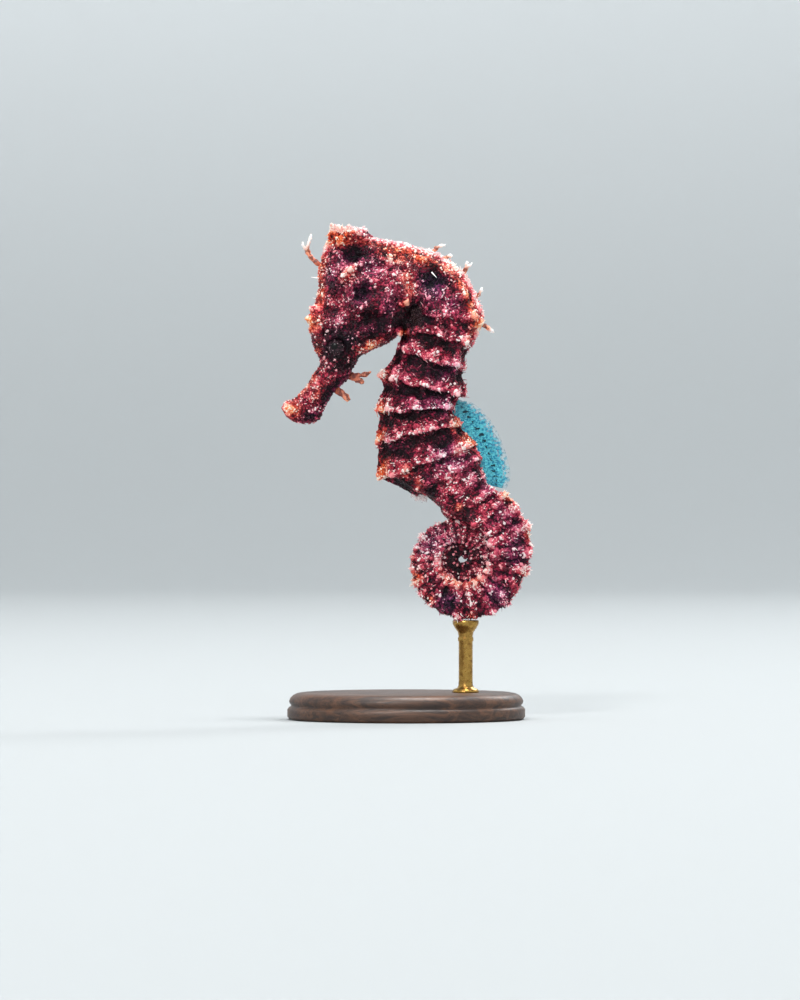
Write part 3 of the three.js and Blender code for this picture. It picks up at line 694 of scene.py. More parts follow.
class Copies:
    """How each copy of a small shape stands: its size, lean, curls, heading, tone and depth."""

    def __init__(
        self, rng, breadth, length, lean=0.0, curl=0.0, sink=0.3, tone=None, light=0.0, sway=0.0
    ):
        count = len(breadth)
        self.breadth, self.length, self.sink, self.light = breadth, length, sink, light
        self.lean, self.curl = np.broadcast_to(lean, count), np.broadcast_to(curl, count)
        self.sway = np.broadcast_to(sway, count) * length
        self.heading = unit(rng.normal(size=(count, 3)))
        self.spin = rng.random(count) * TAU
        self.stretch = np.exp(rng.normal(0, 0.22, count))
        self.tone = rng.random(count) if tone is None else np.broadcast_to(tone, count)

    def bent(self, verts):
        """Each copy's template points, spun, sized and curled: forwards, across and up."""
        c, s = np.cos(self.spin)[:, None], np.sin(self.spin)[:, None]
        stretch, breadth, length = (v[:, None] for v in (self.stretch, self.breadth, self.length))
        x = (verts[:, 0] * stretch * c - verts[:, 1] * s) * breadth
        y = (verts[:, 0] * stretch * s + verts[:, 1] * c) * breadth
        share = verts[None, :, 2]
        curl = np.where(np.abs(self.curl) < LEAST_CURL, LEAST_CURL, self.curl)[:, None]
        lean = self.lean[:, None]
        bend = lean + curl * share
        forward = length * (np.cos(lean) - np.cos(bend)) / curl + x * np.cos(bend)
        upward = length * (np.sin(bend) - np.sin(lean)) / curl - x * np.sin(bend)
        upward = upward - (self.sink * self.breadth)[:, None]
        return forward, y + self.sway[:, None] * share**2, upward


def stand_coat(name, patch, place, template, how, material, slot):
    """A piece of copies of a template that stand on a patch of skin."""
    verts, faces = template
    count = len(place[0])
    up = unit(patch.at(patch.normals, place))
    ahead = unit(how.heading - (how.heading * up).sum(-1, keepdims=True) * up)
    ways = ahead[:, None], np.cross(up, ahead)[:, None], up[:, None]
    forward, sideways, upward = how.bent(verts)
    corners = patch.at(patch.points, place)[:, None] + ways[2] * upward[..., None]
    corners = corners + ways[0] * forward[..., None] + ways[1] * sideways[..., None]
    row, column, fr, fc = place
    root = np.stack([(column + fc) / patch.columns, (row + fr) / patch.rows], -1)[:, None]
    uv = root + UV_PATCH * (np.stack([verts[:, 0], verts[:, 2]], -1)[None] - 0.5)
    each = lambda values: np.repeat(np.broadcast_to(values, count)[:, None], len(verts), 1)
    floats = {key: each(patch.at(values, place)) for key, values in zip(SHARES, patch.shares)}
    floats["light"] = np.clip(floats["light"] + each(how.light), 0, 1)
    floats["tone"] = each(how.tone)
    floats["tip"] = np.broadcast_to(np.clip(verts[None, :, 2], 0, 1), (count, len(verts)))
    mesh = joined(name, corners, faces, np.clip(uv, 0.001, 0.999), floats)
    piece(name, mesh, material, slot)


# ---- Node helpers ----


class Nodes:
    """A material's node tree, with short calls for what this scene uses."""

    def __init__(self, name):
        self.material = bpy.data.materials.new(name)
        self.material.use_nodes = True
        self.tree = self.material.node_tree
        self.shader = self.tree.nodes["Principled BSDF"]
        self.place = self.new("ShaderNodeTexCoord", "Object")

    def put(self, value, socket):
        if isinstance(value, bpy.types.NodeSocket):
            self.tree.links.new(value, socket)
        else:
            socket.default_value = value

    def new(self, kind, output, inputs=None, **settings):
        """The named output of a new node with these inputs."""
        node = self.tree.nodes.new(kind)
        for key, value in settings.items():
            setattr(node, key, value)
        for key, value in (inputs or {}).items():
            self.put(value, node.inputs[key])
        return node.outputs[output]

    def attribute(self, name):
        return self.new("ShaderNodeAttribute", "Fac", attribute_name=name)

    def parts(self, vector):
        """A vector's x, y and z."""
        return self.new("ShaderNodeSeparateXYZ", "X", {0: vector}).node.outputs[:]

    def uv_parts(self, name):
        return self.parts(self.new("ShaderNodeUVMap", "UV", uv_map=name))[:2]

    def stretched(self, vector, scale):
        return self.new("ShaderNodeMapping", "Vector", {"Vector": vector, "Scale": scale})

    def noise(self, size, detail=2.0, roughness=0.5, warp=0.0, where=None):
        """Noise with features of about this size in millimetres."""
        inputs = {"Vector": where or self.place, "Scale": 1 / (size * MM), "Detail": detail}
        inputs |= {"Roughness": roughness, "Distortion": warp}
        return self.new("ShaderNodeTexNoise", "Fac", inputs)

    def cells(self, size, where=None):
        """Rounded cells of this size in millimetres: distance from a middle, and chance."""
        inputs = {"Vector": where or self.place, "Scale": 1 / (size * MM)}
        node = self.new("ShaderNodeTexVoronoi", "Color", inputs).node
        return node.outputs["Distance"], self.parts(node.outputs["Color"])[0]

    def tones(self, value, colours):
        """A ramp through sRGB colours at TONE_PLACES."""
        colour = self.new("ShaderNodeValToRGB", "Color", {"Fac": value})
        elements = colour.node.color_ramp.elements
        for place in TONE_PLACES[1:-1]:
            elements.new(place)
        for element, tone in zip(elements, colours):
            element.color = rgb(*tone)
        return colour

    def ramp(self, value, low, high, start=0.0, end=1.0):
        inputs = {"Value": value, "From Min": low, "From Max": high, "To Min": start, "To Max": end}
        return self.new("ShaderNodeMapRange", "Result", inputs, interpolation_type="SMOOTHSTEP")

    def math(self, operation, a, b=0.0):
        return self.new("ShaderNodeMath", "Value", {0: a, 1: b}, operation=operation)

    def plus(self, a, b):
        return self.math("ADD", a, b)

    def times(self, a, b):
        return self.math("MULTIPLY", a, b)

    def most(self, *values):
        return reduce(lambda a, b: self.math("MAXIMUM", a, b), values)

    def mix(self, share, a, b):
        inputs = {"Factor": share, "A": a, "B": b}
        return self.new("ShaderNodeMix", "Result", inputs, data_type="RGBA")

    def bump(self, height, depth, strength=1.0, under=None):
        """depth is the height's whole range in millimetres."""
        inputs = {"Distance": depth * MM, "Strength": strength, "Height": height}
        if under is not None:
            inputs["Normal"] = under
        return self.new("ShaderNodeBump", "Normal", inputs)

    def finish(self, **sockets):
        for key, value in sockets.items():
            self.put(value, self.shader.inputs[key.replace("_", " ")])
        return self.material


def rgb(red, green, blue):
    """An sRGB colour, 0 to 255, as a linear one."""
    shares = (c / 255 for c in (red, green, blue))
    return (*(((c + 0.055) / 1.055) ** 2.4 if c > 10 / 255 else c / 12.92 for c in shares), 1.0)


# The body's colours from its darkest to its lightest.
TONE_PLACES = 0.0, 0.2, 0.42, 0.62, 0.8, 1.0
FLESH_TONES = [
    (18, 5, 10), (60, 12, 28), (130, 22, 46), (214, 72, 96), (250, 148, 156), (255, 236, 232),
]
ORANGE_TONES = [
    (26, 5, 4), (92, 17, 10), (192, 50, 22), (246, 114, 60), (255, 176, 122), (255, 234, 212),
]
VIOLET_TONES = [
    (10, 5, 16), (40, 14, 40), (92, 30, 72), (164, 78, 126), (228, 158, 186), (252, 228, 236),
]


def body_colour(n, light):
    """The colour that skin and coat share, from how light a place is, how orange and how violet."""
    orange, violet = n.attribute("orange"), n.attribute("violet")
    warm = n.mix(orange, n.tones(light, FLESH_TONES), n.tones(light, ORANGE_TONES))
    return n.mix(violet, warm, n.tones(light, VIOLET_TONES))


def skin_material():
    n = Nodes("ringed_skin")
    distance, chance = n.cells(0.4)
    value = n.plus(n.attribute("light"), n.ramp(chance, 0, 1, -0.16, 0.14))
    value = n.plus(value, n.ramp(n.noise(1.3, 3), 0.3, 0.7, -0.14, 0.1))
    value = n.math("SUBTRACT", value, n.ramp(distance, 0.45, 0.75, 0.0, 0.25))
    return n.finish(
        Base_Color=body_colour(n, value),
        Normal=n.bump(n.noise(0.22, 3, 0.6), 0.08, 0.8, n.bump(distance, -0.16)),
        Roughness=n.ramp(chance, 0, 1, 0.45, 0.65),
        Specular_IOR_Level=0.14,
        Subsurface_Weight=0.1,
        Subsurface_Radius=(1.0, 0.35, 0.25),
        Subsurface_Scale=0.0004,
    )


def coat_material(name, tip):
    """tip is how much lighter the copies' ends are."""
    n = Nodes(name)
    light = n.attribute("light")
    tone = n.ramp(n.math("POWER", n.attribute("tone"), 2.6), 0, 1, -0.16, 0.6)
    value = n.plus(light, n.times(tone, n.ramp(light, 0.1, 0.5, 0.25, 1.0)))
    value = n.plus(value, n.ramp(n.attribute("tip"), 0.0, 1.0, -tip, tip))
    return n.finish(
        Base_Color=body_colour(n, value),
        Roughness=0.34,
        Specular_IOR_Level=0.4,
        Subsurface_Weight=0.15,
        Subsurface_Radius=(1.0, 0.5, 0.4),
        Subsurface_Scale=0.0003,
        Normal=n.bump(n.noise(0.15, 2), 0.04, 0.5),
    )


# ---- Coat pieces ----

# The coat's regions: where each starts and ends along the body, how many beads and how many
# papillae it has.
REGIONS = {
    "head": (0, 14.5, 7400, 5000),
    "trunk": (14.5, RUMP - 0.5, 7600, 3900),
    "tail": (RUMP - 0.5, COIL_START + 3.5, 6600, 4200),
    "coil": (COIL_START + 3.5, END - 0.3, 8000, 4200),
}
BEAD_SEED, PAPILLA_SEED, KNOB_SEED, CORONET_SEED = 11, 12, 13, 21


def between(body, low, high):
    return ((body.u >= low) & (body.u < high)).astype(float)


def off_eyes(body):
    away = np.hypot(body.x - EYE_X, body.z - EYE_Z)
    return 1 - (1 - smooth(1.5, 1.85, away)) * body.headed * smooth(0.4, 0.7, body.side)


def coat_weight(body, patch):
    """How thickly the coat stands on each part of the skin."""
    clumps = smooth(-0.35, 0.45, fractal(body.points, 1.1, 7))
    weight = (0.11 + patch.shares[0] ** 1.3) * (0.3 + clumps)
    weight = weight + body.edge * (body.trunk * body.hooped + body.tail)
    weight = weight + 0.4 * body.line * body.profile
    return weight * off_eyes(body) * smooth(0.6, 1.5, body.u) * (1 - 0.8 * body.throat)


def make_beads(body, patch, weight, material):
    rng = np.random.default_rng(BEAD_SEED)
    template = bead_template()
    for name, (low, high, count, _) in REGIONS.items():
        place = patch.scatter(count, weight * between(body, low, high), rng)
        light, lit_trunk = patch.shares[0], body.trunk * patch.shares[0]
        breadth = 0.1 + 0.18 * rng.random(count) ** 2.2 + 0.07 * patch.at(light, place)
        breadth *= 1 + 0.2 * patch.at(body.coiled, place) + 0.25 * patch.at(lit_trunk, place)
        breadth *= np.clip(patch.at(body.half, place) / 2.4, 0.5, 1)
        how = Copies(rng, breadth, breadth * (0.8 + 0.6 * rng.random(count)))
        stand_coat(f"beads_{name}", patch, place, template, how, material, "skin")


def make_papillae(body, patch, weight, material):
    """Short fleshy threads that lie curled along the skin, and stand in rosettes on the knobs."""
    rng = np.random.default_rng(PAPILLA_SEED)
    template = papilla_template()
    tufts = near_angle(body.a, 45, 0.3) * body.crest * knob_sizes(body.ring) ** 2 * body.tail
    tufts = tufts + near_angle(body.a, 0, 0.5) * body.tail * 0.3
    upwards = -np.sign(body.a)[..., None] * unit(np.gradient(patch.points, axis=1))
    hoops = upwards * body.ringed[..., None]
    thick = weight * (1 - 0.7 * body.edge) + 4 * tufts
    for name, (low, high, _, count) in REGIONS.items():
        place = patch.scatter(count, thick * between(body, low, high), rng)
        half = np.clip(patch.at(body.half, place) / 2.6, 0.3, 1)
        tufted = np.clip(patch.at(tufts, place), 0, 1)
        on_face, on_tail = patch.at(body.headed, place), patch.at(body.tail, place)
        length = (0.4 + 0.6 * rng.random(count) ** 2) * half
        length = length * (1 - 0.3 * on_face - 0.2 * on_tail) + 0.2 * tufted
        breadth = (0.08 + 0.05 * rng.random(count)) * half**0.5
        lean = 1.42 - 0.9 * tufted + rng.normal(0, 0.1, count)
        curl = rng.normal(0.1, 0.3, count) - 0.6 * tufted
        sway = rng.normal(0, 0.5, count) * (1 - tufted)
        glow = 0.3 * tufted + 0.1 * patch.at(body.coiled, place)
        how = Copies(rng, breadth, length, lean, curl, 0.0, light=glow, sway=sway)
        how.heading = unit(how.heading + 1.6 * patch.at(hoops, place))
        stand_coat(f"papillae_{name}", patch, place, template, how, material, "frond_skin")


# Round beads of the head's side: x, z, radius.
TEMPLE_BEADS = [
    (-21.05, 53.8, 0.36), (-19.5, 54.1, 0.38), (-18.4, 54.2, 0.4), (-20.2, 52.9, 0.42),
    (-21.6, 51.9, 0.4), (-22, 51.1, 0.28), (-22.5, 51.6, 0.26), (-19.9, 52.2, 0.32),
    (-20.1, 51.2, 0.24), (-18.9, 51.2, 0.25), (-21.3, 59, 0.36), (-22.9, 58.5, 0.22),
    (-16.4, 51.5, 0.31), (-16.7, 50.1, 0.28), (-12.95, 56.1, 0.24), (-12.95, 55.6, 0.28),
    (-12.9, 55.1, 0.28), (-12.9, 54.6, 0.24), (-17.5, 47.2, 0.27),
]
HEAD_BEADS = [
    (-18.8, 57.8, 0.26), (-16.8, 56.1, 0.22), (-14.6, 56.4, 0.22), (-21.1, 56.3, 0.2),
    (-22.1, 55.1, 0.22), (-10.3, 47.3, 0.5), (-9.7, 46.7, 0.36), (-10.9, 46.7, 0.3),
    (-10.5, 48, 0.3), (-10.1, 41.8, 0.42), (-15.4, 51.4, 0.22), (-14.1, 54.4, 0.2),
    (-13.8, 52.7, 0.24), (-14.5, 45.4, 0.22), (-8.4, 54.6, 0.3), (-10.2, 54.6, 0.22),
    (-27.7, 45.4, 0.34), (-27.6, 43.8, 0.34), (-26.7, 44.8, 0.3), (-26.7, 43.4, 0.3),
    (-18.2, 38.8, 0.24), (-17.5, 39.2, 0.27), (-16.8, 39.4, 0.26), (-16, 39.7, 0.24),
    (-23.6, 44.4, 0.22), (-22.6, 44.7, 0.22), (-22, 44, 0.24), (-23, 43.6, 0.22),
    (-21.2, 43.4, 0.2), (-24.4, 44, 0.2),
]
# Round beads of the coil's side, along the inner rim of its first turn.
COIL_BEADS = [
    (5.1, 5.2, 0.34), (5.9, 3.6, 0.5), (6.5, 1.8, 0.42), (6.2, -0.2, 0.5), (5.6, -1.9, 0.34),
    (4.5, -3.5, 0.5), (2.9, -4.7, 0.38), (1.2, -5.3, 0.34), (-0.8, -5.3, 0.38), (-2.8, -4.6, 0.34),
    (-4.2, -3.2, 0.36),
]
# Circles of small beads round the coil's middle and round the eye: radius and count.
CENTRE_CIRCLES = (3.8, 14), (3.0, 11), (1.4, 8)
EYE_CIRCLES = (2.5, 13), (3.3, 16), (4.2, 14)
RIM_BEADS = range(-15, 75, 11)  # degrees along the gill cover's rear edge, from its middle
FIRST_KNOBBED, PLAIN_AT_TIP, TRUNK_RINGS = 5, 3, 11  # rings
FAR = 50  # millimetres, to keep a place out of a search


def ring_beads(body, patch):
    """Rows, columns and radii of the knobs where the rings cross the long ridges."""
    found = []
    for angle in (-135, -45, 45, 135):
        column = (angle / 360 + 0.5) * patch.columns
        rings, halves = body.ring[:, int(column)], body.half[:, 0]
        first = int(np.argmax(rings > 0.5))
        for ring in range(FIRST_KNOBBED, int(rings[-1]) - PLAIN_AT_TIP):
            row = first + np.interp(ring, rings[first:], np.arange(len(rings) - first))
            size = float(knob_sizes(np.array(ring)))
            on_trunk = ring <= TRUNK_RINGS
            if not on_trunk and abs(angle) == 45:
                continue
            radius = 0.28 + 0.22 * size if on_trunk else 0.18 + 0.24 * size
            radius *= min(1, halves[int(row)] / 3.4)
            if ring < 7.5 and abs(angle) == 135:
                radius *= 0.5
            found.append((row, column, radius))
    return found


def side_beads(body, beads, first, last):
    """Rows, columns and radii of these beads on both sides of the body between two rows."""
    found = []
    outside = FAR * ((body.side < 0.25) | (body.u < first) | (body.u > last))
    for x, z, radius in beads:
        for side in (-1, 1):
            off = np.hypot(body.x - x, body.z - z) + outside + FAR * (body.y * side < 0)
            row, column = np.unravel_index(np.argmin(off), off.shape)
            found.append((row, column, radius))
    return found


def circle_beads(circles, x, z, size, stray):
    """Small beads on circles round a middle, each astray by up to this many millimetres."""
    found = []
    for radius, count in circles:
        for k in range(count):
            angle = TAU * (k + 0.37 * radius + stray * math.sin(3 * k + radius)) / count
            away = radius + stray * math.sin(7 * k)
            own_size = size * (1 + stray * math.sin(5 * k))
            found.append((x + away * math.cos(angle), z + away * math.sin(angle), own_size))
    return found


def make_knobs(body, patch, material):
    rng = np.random.default_rng(KNOB_SEED)
    rim = [(math.radians(k), 0.97 * GILL_R) for k in RIM_BEADS]
    rim = [(GILL_X + r * math.cos(k), GILL_Z + r * math.sin(k), 0.2) for k, r in rim]
    centre = circle_beads(CENTRE_CIRCLES, 0, 0, 0.21, 0.25)
    flecks = circle_beads(EYE_CIRCLES, EYE_X, EYE_Z, 0.17, 0.55)
    sets = [  # each with how much lighter it is than the skin
        (side_beads(body, TEMPLE_BEADS, 0, 18), 0.55),
        (side_beads(body, HEAD_BEADS + rim, 0, 18), 0.22),
        (side_beads(body, COIL_BEADS, RUMP + 2, COIL_START + 5), 0.3),
        (side_beads(body, centre, COIL_START + 6, END - 1), 0.85),
        (side_beads(body, flecks, 3, 12), 0.95),
        (ring_beads(body, patch), 0.06),
    ]
    rows, columns, radii = np.concatenate([np.array(found) for found, _ in sets]).T
    light = np.concatenate([np.full(len(found), extra) for found, extra in sets])
    tone = 0.2 + 0.45 * rng.random(len(radii))
    how = Copies(rng, radii, radii * 0.95, sink=0.15, tone=tone, light=light)
    place = patch.place(rows, columns)
    stand_coat("knobs", patch, place, bead_template(2, 0.9), how, material, "skin")


# ---- Eyes ----


def eye_material():
    n = Nodes("eye")
    out, around = n.uv_parts("eye")
    along = {"X": n.times(around, 26.0), "Y": n.times(out, 3.0)}
    rays = n.noise(1000, where=n.new("ShaderNodeCombineXYZ", 0, along))
    iris = n.mix(n.ramp(rays, 0.45, 0.62), rgb(12, 5, 10), rgb(66, 38, 48))
    distance, chance = n.cells(0.3)
    flecks = n.times(n.ramp(distance, 0.32, 0.16), n.ramp(chance, 0.5, 0.6))
    iris = n.mix(flecks, iris, rgb(190, 160, 166))
    iris = n.mix(n.ramp(out, 0.75, 0.95), iris, rgb(24, 10, 14))
    return n.finish(
        Base_Color=n.mix(n.ramp(out, 0.22, 0.18), iris, rgb(4, 3, 5)),
        Roughness=0.5,
        Specular_IOR_Level=0.15,
        Coat_Weight=0.22,
        Coat_Roughness=0.06,
        Coat_IOR=1.38,
    )


def tilt(co):
    """The angle from +z of a point of the unit ball."""
    return math.acos(max(-1, min(1, co.z)))


def make_eye(name, side, material):
    """An eyeball that bulges a little over the pupil, with a map of distance and angle."""
    bm = bmesh.new()
    bmesh.ops.create_uvsphere(bm, u_segments=64, v_segments=40, radius=1)
    facing = Vector((-0.22, side, 0.05)).normalized()
    turn = Vector((0, 0, 1)).rotation_difference(facing).to_matrix()
    layer = bm.loops.layers.uv.new("eye")
    for face in bm.faces:
        mean = face.calc_center_median()
        middle_angle = math.atan2(mean.y, mean.x)
        for loop in face.loops:
            co = loop.vert.co
            angle = math.atan2(co.y, co.x)
            angle += TAU * round((middle_angle - angle) / TAU)
            loop[layer].uv = (tilt(co) / (math.pi / 2), angle / TAU)
    centre = middle(name)
    for vert in bm.verts:
        out = vert.co.normalized()
        bulge = 1 + 0.06 * math.exp(-((tilt(out) / 0.55) ** 2))
        vert.co = turn @ (out * bulge * EYE_R * MM * 0.985) + centre
    piece(f"{name}_ball", new_mesh(name, bm), material, "eye", name)


# ---- Coronet ----

CORONET_X, CORONET_FOOT, CORONET_TOP = -21.0, 57.3, 61.5
CORONET_RADIUS, CORONET_WALL = 2.95, 0.72  # millimetres, and the wall's share of the grid
CORONET_AROUND, CORONET_ALONG = 180, 70
CORONET_BEADS, CORONET_PAPILLAE = 1500, 520


def nearest_on(patch, points):
    """Which of a patch's grid points is nearest to each of these points."""
    flat, wanted = patch.points.reshape(-1, 3), points.reshape(-1, 3)
    close = np.flatnonzero(((flat > wanted.min(0) - 3) & (flat < wanted.max(0) + 3)).all(1))
    tree = kdtree.KDTree(len(close))
    for k in close:
        tree.insert(flat[k], int(k))
    tree.balance()
    return np.array([tree.find(p)[1] for p in wanted]).reshape(points.shape[:-1])


def coronet_points(angle, wall, top, rear):
    """A low crown: its foot runs out over the head, its wall folds into blunt points."""
    lobe = 0.6 * np.cos(5 * angle) + 0.35 * np.cos(3 * angle + 0.8) + 0.2 * np.cos(9 * angle)
    radius = CORONET_RADIUS + (1.5 + 1.2 * rear) * (1 - wall) ** 1.6 + 0.22 * lobe * wall**2
    radius = radius * (1 - top) ** 0.7
    foot = CORONET_FOOT + 1.7 * rear
    height = foot + (CORONET_TOP - 0.4 * rear - foot) * wall**0.9
    height = height + 0.35 * lobe * wall**3 * (1 - top) - 1.1 * top**0.6
    x, y = CORONET_X + radius * np.cos(angle), 0.85 * radius * np.sin(angle)
    return np.stack([x, y, height], -1)


def make_coronet(skin, flesh, bead_material, thread_material):
    """A crumpled crown with a dished top, which grows out of the skin and its markings."""
    across, along = CORONET_AROUND, CORONET_ALONG
    angle, t = np.meshgrid(np.linspace(0, TAU, across + 1), np.linspace(0, 1, along + 1))
    wall = np.clip(t / CORONET_WALL, 0, 1)
    top = np.clip((t - CORONET_WALL) / (1 - CORONET_WALL), 0, 1)
    rear = smooth(-0.3, 1, np.cos(angle))
    points = coronet_points(angle, wall, top, rear)
    crumple = fractal(points, 1.0, 5, 3)
    centre = np.array([CORONET_X, 0, CORONET_FOOT])
    points += unit(points - centre) * (0.55 * crumple * np.minimum(1, 5 * (1 - top)))[..., None]
    found = nearest_on(skin, points)
    ground = (skin.points - 0.25 * skin.normals).reshape(-1, 3)[found]
    own = smooth(0.0, 0.5, wall)
    points = ground + (points - ground) * own[..., None]
    close_grid(points)
    crest = smooth(0.58, 0.8, wall)
    light = 0.44 - 0.18 * rear + 0.6 * crest + 0.4 * crumple * (1 - 0.85 * crest)
    light = light - 0.4 * smooth(0.35, 0.9, top)
    orange = 1.0 - 0.6 * rear - 0.65 * crest + 0.3 * crumple
    shares = []
    for values, under in zip((light, orange, 0.5 * rear * (1 - crest)), skin.shares):
        under = under.reshape(-1)[found]
        shares.append(np.clip(under + (values - under) * own, 0, 1))
    mesh, column, row = grid_mesh("coronet_flesh", across, along)
    write_points(mesh, to_frame(points[row, column]))
    add_shares(mesh, [values[row, column] for values in shares])
    merge(mesh)
    piece("coronet_flesh", mesh, flesh, "coronet_skin", "coronet")

    patch = Patch(points, grid_normals(points, points - centre), shares)
    rng = np.random.default_rng(CORONET_SEED)
    place = patch.scatter(CORONET_BEADS, 0.3 * own + wall**3, rng)
    breadth = 0.1 + 0.24 * rng.random(CORONET_BEADS) ** 2
    how = Copies(rng, breadth, breadth * 1.1, light=0.1)
    beads = bead_template()
    stand_coat("beads_coronet", patch, place, beads, how, bead_material, "coronet_skin")
    count = CORONET_PAPILLAE
    place = patch.scatter(count, (0.15 * own + smooth(0.7, 1.0, wall)) * (1 - top), rng)
    length = 0.25 + 0.45 * rng.random(count) ** 2
    lean = rng.normal(0.7, 0.35, count)
    breadth = 0.07 + 0.04 * rng.random(count)
    how = Copies(rng, breadth, length, lean, 0.3, light=0.2, sway=rng.normal(0, 0.4, count))
    threads = papilla_template()
    stand_coat("papillae_coronet", patch, place, threads, how, thread_material, "coronet_skin")


# ---- Fronds and filaments ----


def grow(bm, path, radii, sides, flat=1.0):
    """A closed tapered finger along a path in millimetres, by extruding a ring of edges."""
    points = [Vector(p) for p in path]
    ring = bmesh.ops.create_circle(bm, cap_ends=True, segments=sides, radius=1)["verts"]
    angles = [math.atan2(v.co.y, v.co.x) for v in ring]
    for k, (point, radius) in enumerate(zip(points, radii)):
        ahead = points[min(k + 1, len(points) - 1)] - points[max(k - 1, 0)]
        turn = Vector((0, 0, 1)).rotation_difference(ahead.normalized()).to_matrix()
        if k:
            edges = dict.fromkeys(e for v in ring for e in v.link_edges if e.other_vert(v) in ring)
            new = bmesh.ops.extrude_edge_only(bm, edges=list(edges))["geom"]
            ring = [g for g in new if isinstance(g, bmesh.types.BMVert)]
            angles = [spots[v.co.copy().freeze()] for v in ring]
        spots = {}
        for vert, angle in zip(ring, angles):
            flat_spot = Vector((math.cos(angle) * radius, math.sin(angle) * radius * flat, 0))
            vert.co = turn @ flat_spot + point
            spots[vert.co.copy().freeze()] = angle
    bmesh.ops.contextual_create(bm, geom=ring)


def bezier(a, b, c, d, steps):
    a, b, c, d = (Vector(p) for p in (a, b, c, d))
    found = []
    for k in range(steps + 1):
        t = k / steps
        s = 1 - t
        found.append(a * s**3 + b * (3 * s * s * t) + c * (3 * s * t * t) + d * t**3)
    return found


# Each frond is a list of fingers: four control points in x and z, and the radii of root and tip.
FRONDS = {
    "frond_forehead": [
        ((-25.2, 53.9), (-27.0, 54.9), (-28.6, 56.2), (-28.4, 57.6), 0.5, 0.36),
        ((-28.5, 57.1), (-29.0, 57.5), (-29.3, 58.0), (-29.3, 58.6), 0.36, 0.22),
        ((-28.4, 57.2), (-28.2, 58.3), (-27.9, 59.2), (-27.6, 60.1), 0.32, 0.24),
    ],
    "frond_chin_front": [((-24.0, 31.6), (-22.8, 31.4), (-21.6, 30.4), (-20.7, 29.3), 0.72, 0.6)],
    "frond_chin_rear": [
        ((-21.4, 34.6), (-20.2, 33.8), (-18.6, 33.6), (-16.6, 34.6), 0.7, 0.3),
        ((-20.6, 33.9), (-19.6, 33.3), (-18.8, 33.0), (-17.9, 32.6), 0.62, 0.42),
    ],
    "frond_nape_front": [((-5.9, 55.7), (-5.2, 56.9), (-4.3, 58.0), (-2.9, 58.0), 0.44, 0.2)],
    "frond_nape_rear": [((-3.9, 54.9), (-2.9, 55.7), (-2.3, 56.0), (-1.5, 56.1), 0.42, 0.28)],
    "frond_back_1": [
        ((-0.4, 51.5), (0.3, 52.8), (1.1, 54.0), (2.1, 54.7), 0.46, 0.22),
        ((0.9, 53.6), (1.0, 54.2), (1.1, 54.7), (1.15, 55.1), 0.28, 0.18),
    ],
    "frond_back_2": [((1.4, 47.8), (3.0, 48.3), (3.7, 49.2), (3.9, 50.2), 0.46, 0.2)],
    "frond_back_3": [((3.2, 43.7), (4.6, 43.2), (5.4, 42.4), (6.1, 41.8), 0.5, 0.2)],
}
FROND_STEPS, FROND_SIDES = 12, 12
# Each side's spines of the head, root and tip as x, distance out and z, with the root's radius.
HEAD_SPINES = [
    ((-26.0, 2.2, 44.0), (-28.6, 2.6, 44.3), 1.7),
    ((-25.6, 2.0, 45.6), (-27.9, 2.3, 46.2), 1.4),
    ((-25.8, 2.4, 42.6), (-28.1, 2.6, 42.5), 1.4),
    ((-20.2, 2.8, 52.4), (-20.8, 4.9, 52.9), 1.0),
    ((-11.2, 3.4, 47.4), (-10.2, 5.2, 47.0), 1.0),
    ((-11.6, 2.0, 42.4), (-10.9, 3.6, 41.4), 0.8),
]
# Thin pale bristles: root and tip.
BRISTLES = [
    ((-26.2, -0.5, 51.9), (-27.7, -0.6, 52.1)),
    ((-26.0, 0.4, 48.0), (-27.4, 0.4, 48.3)),
    ((-5.4, -4.3, 52.8), (-4.5, -5.0, 51.8)),
    ((-5.4, 4.3, 52.8), (-4.5, 5.0, 51.8)),
]


def make_spines(skin, material):
    """Blunt knobbly spines of the head, which carry the skin's markings."""
    bm = bmesh.new()
    for side in (-1, 1):
        for root, tip, radius in HEAD_SPINES:
            root, tip = (Vector((p[0], p[1] * side, p[2])) for p in (root, tip))
            path = [root.lerp(tip, k / 12) for k in range(13)]
            shares = [(1 - (k / 12.5) ** 2) ** 0.5 * (1 - 0.35 * k / 12) for k in range(13)]
            grow(bm, path, [radius * share for share in shares], 16)
    for vert in bm.verts:
        lumps, grain = noise.noise_vector(vert.co * 0.9), noise.noise_vector(vert.co * 3.1)
        vert.co += 0.45 * lumps + 0.16 * grain
    mesh = new_mesh("head_spines", bm, outwards=True)
    points = mesh_points(mesh)
    found = nearest_on(skin, points)
    away = np.linalg.norm(points - skin.points.reshape(-1, 3)[found], axis=-1)
    out = np.clip(away / 1.5, 0, 1)
    write_points(mesh, to_frame(points))
    marks = zip(skin.shares, (0.5, -0.1, -0.3))
    add_shares(mesh, [np.clip(v.reshape(-1)[found] + more * out, 0, 1) for v, more in marks])
    piece("head_spines", mesh, material, "skin")


def make_bristles(material):
    """A few thin pale bristles."""
    bm = bmesh.new()
    for root, tip in BRISTLES:
        path = [Vector(root).lerp(Vector(tip), k / 6) for k in range(7)]
        grow(bm, path, [0.14 * (1 - k / 7) + 0.02 for k in range(7)], 6)
    mesh = new_mesh("bristles", bm, outwards=True)
    points = mesh_points(mesh)
    write_points(mesh, to_frame(points))
    add_floats(mesh, "tip", np.ones(len(points)))
    piece("bristles", mesh, material, "frond_skin")


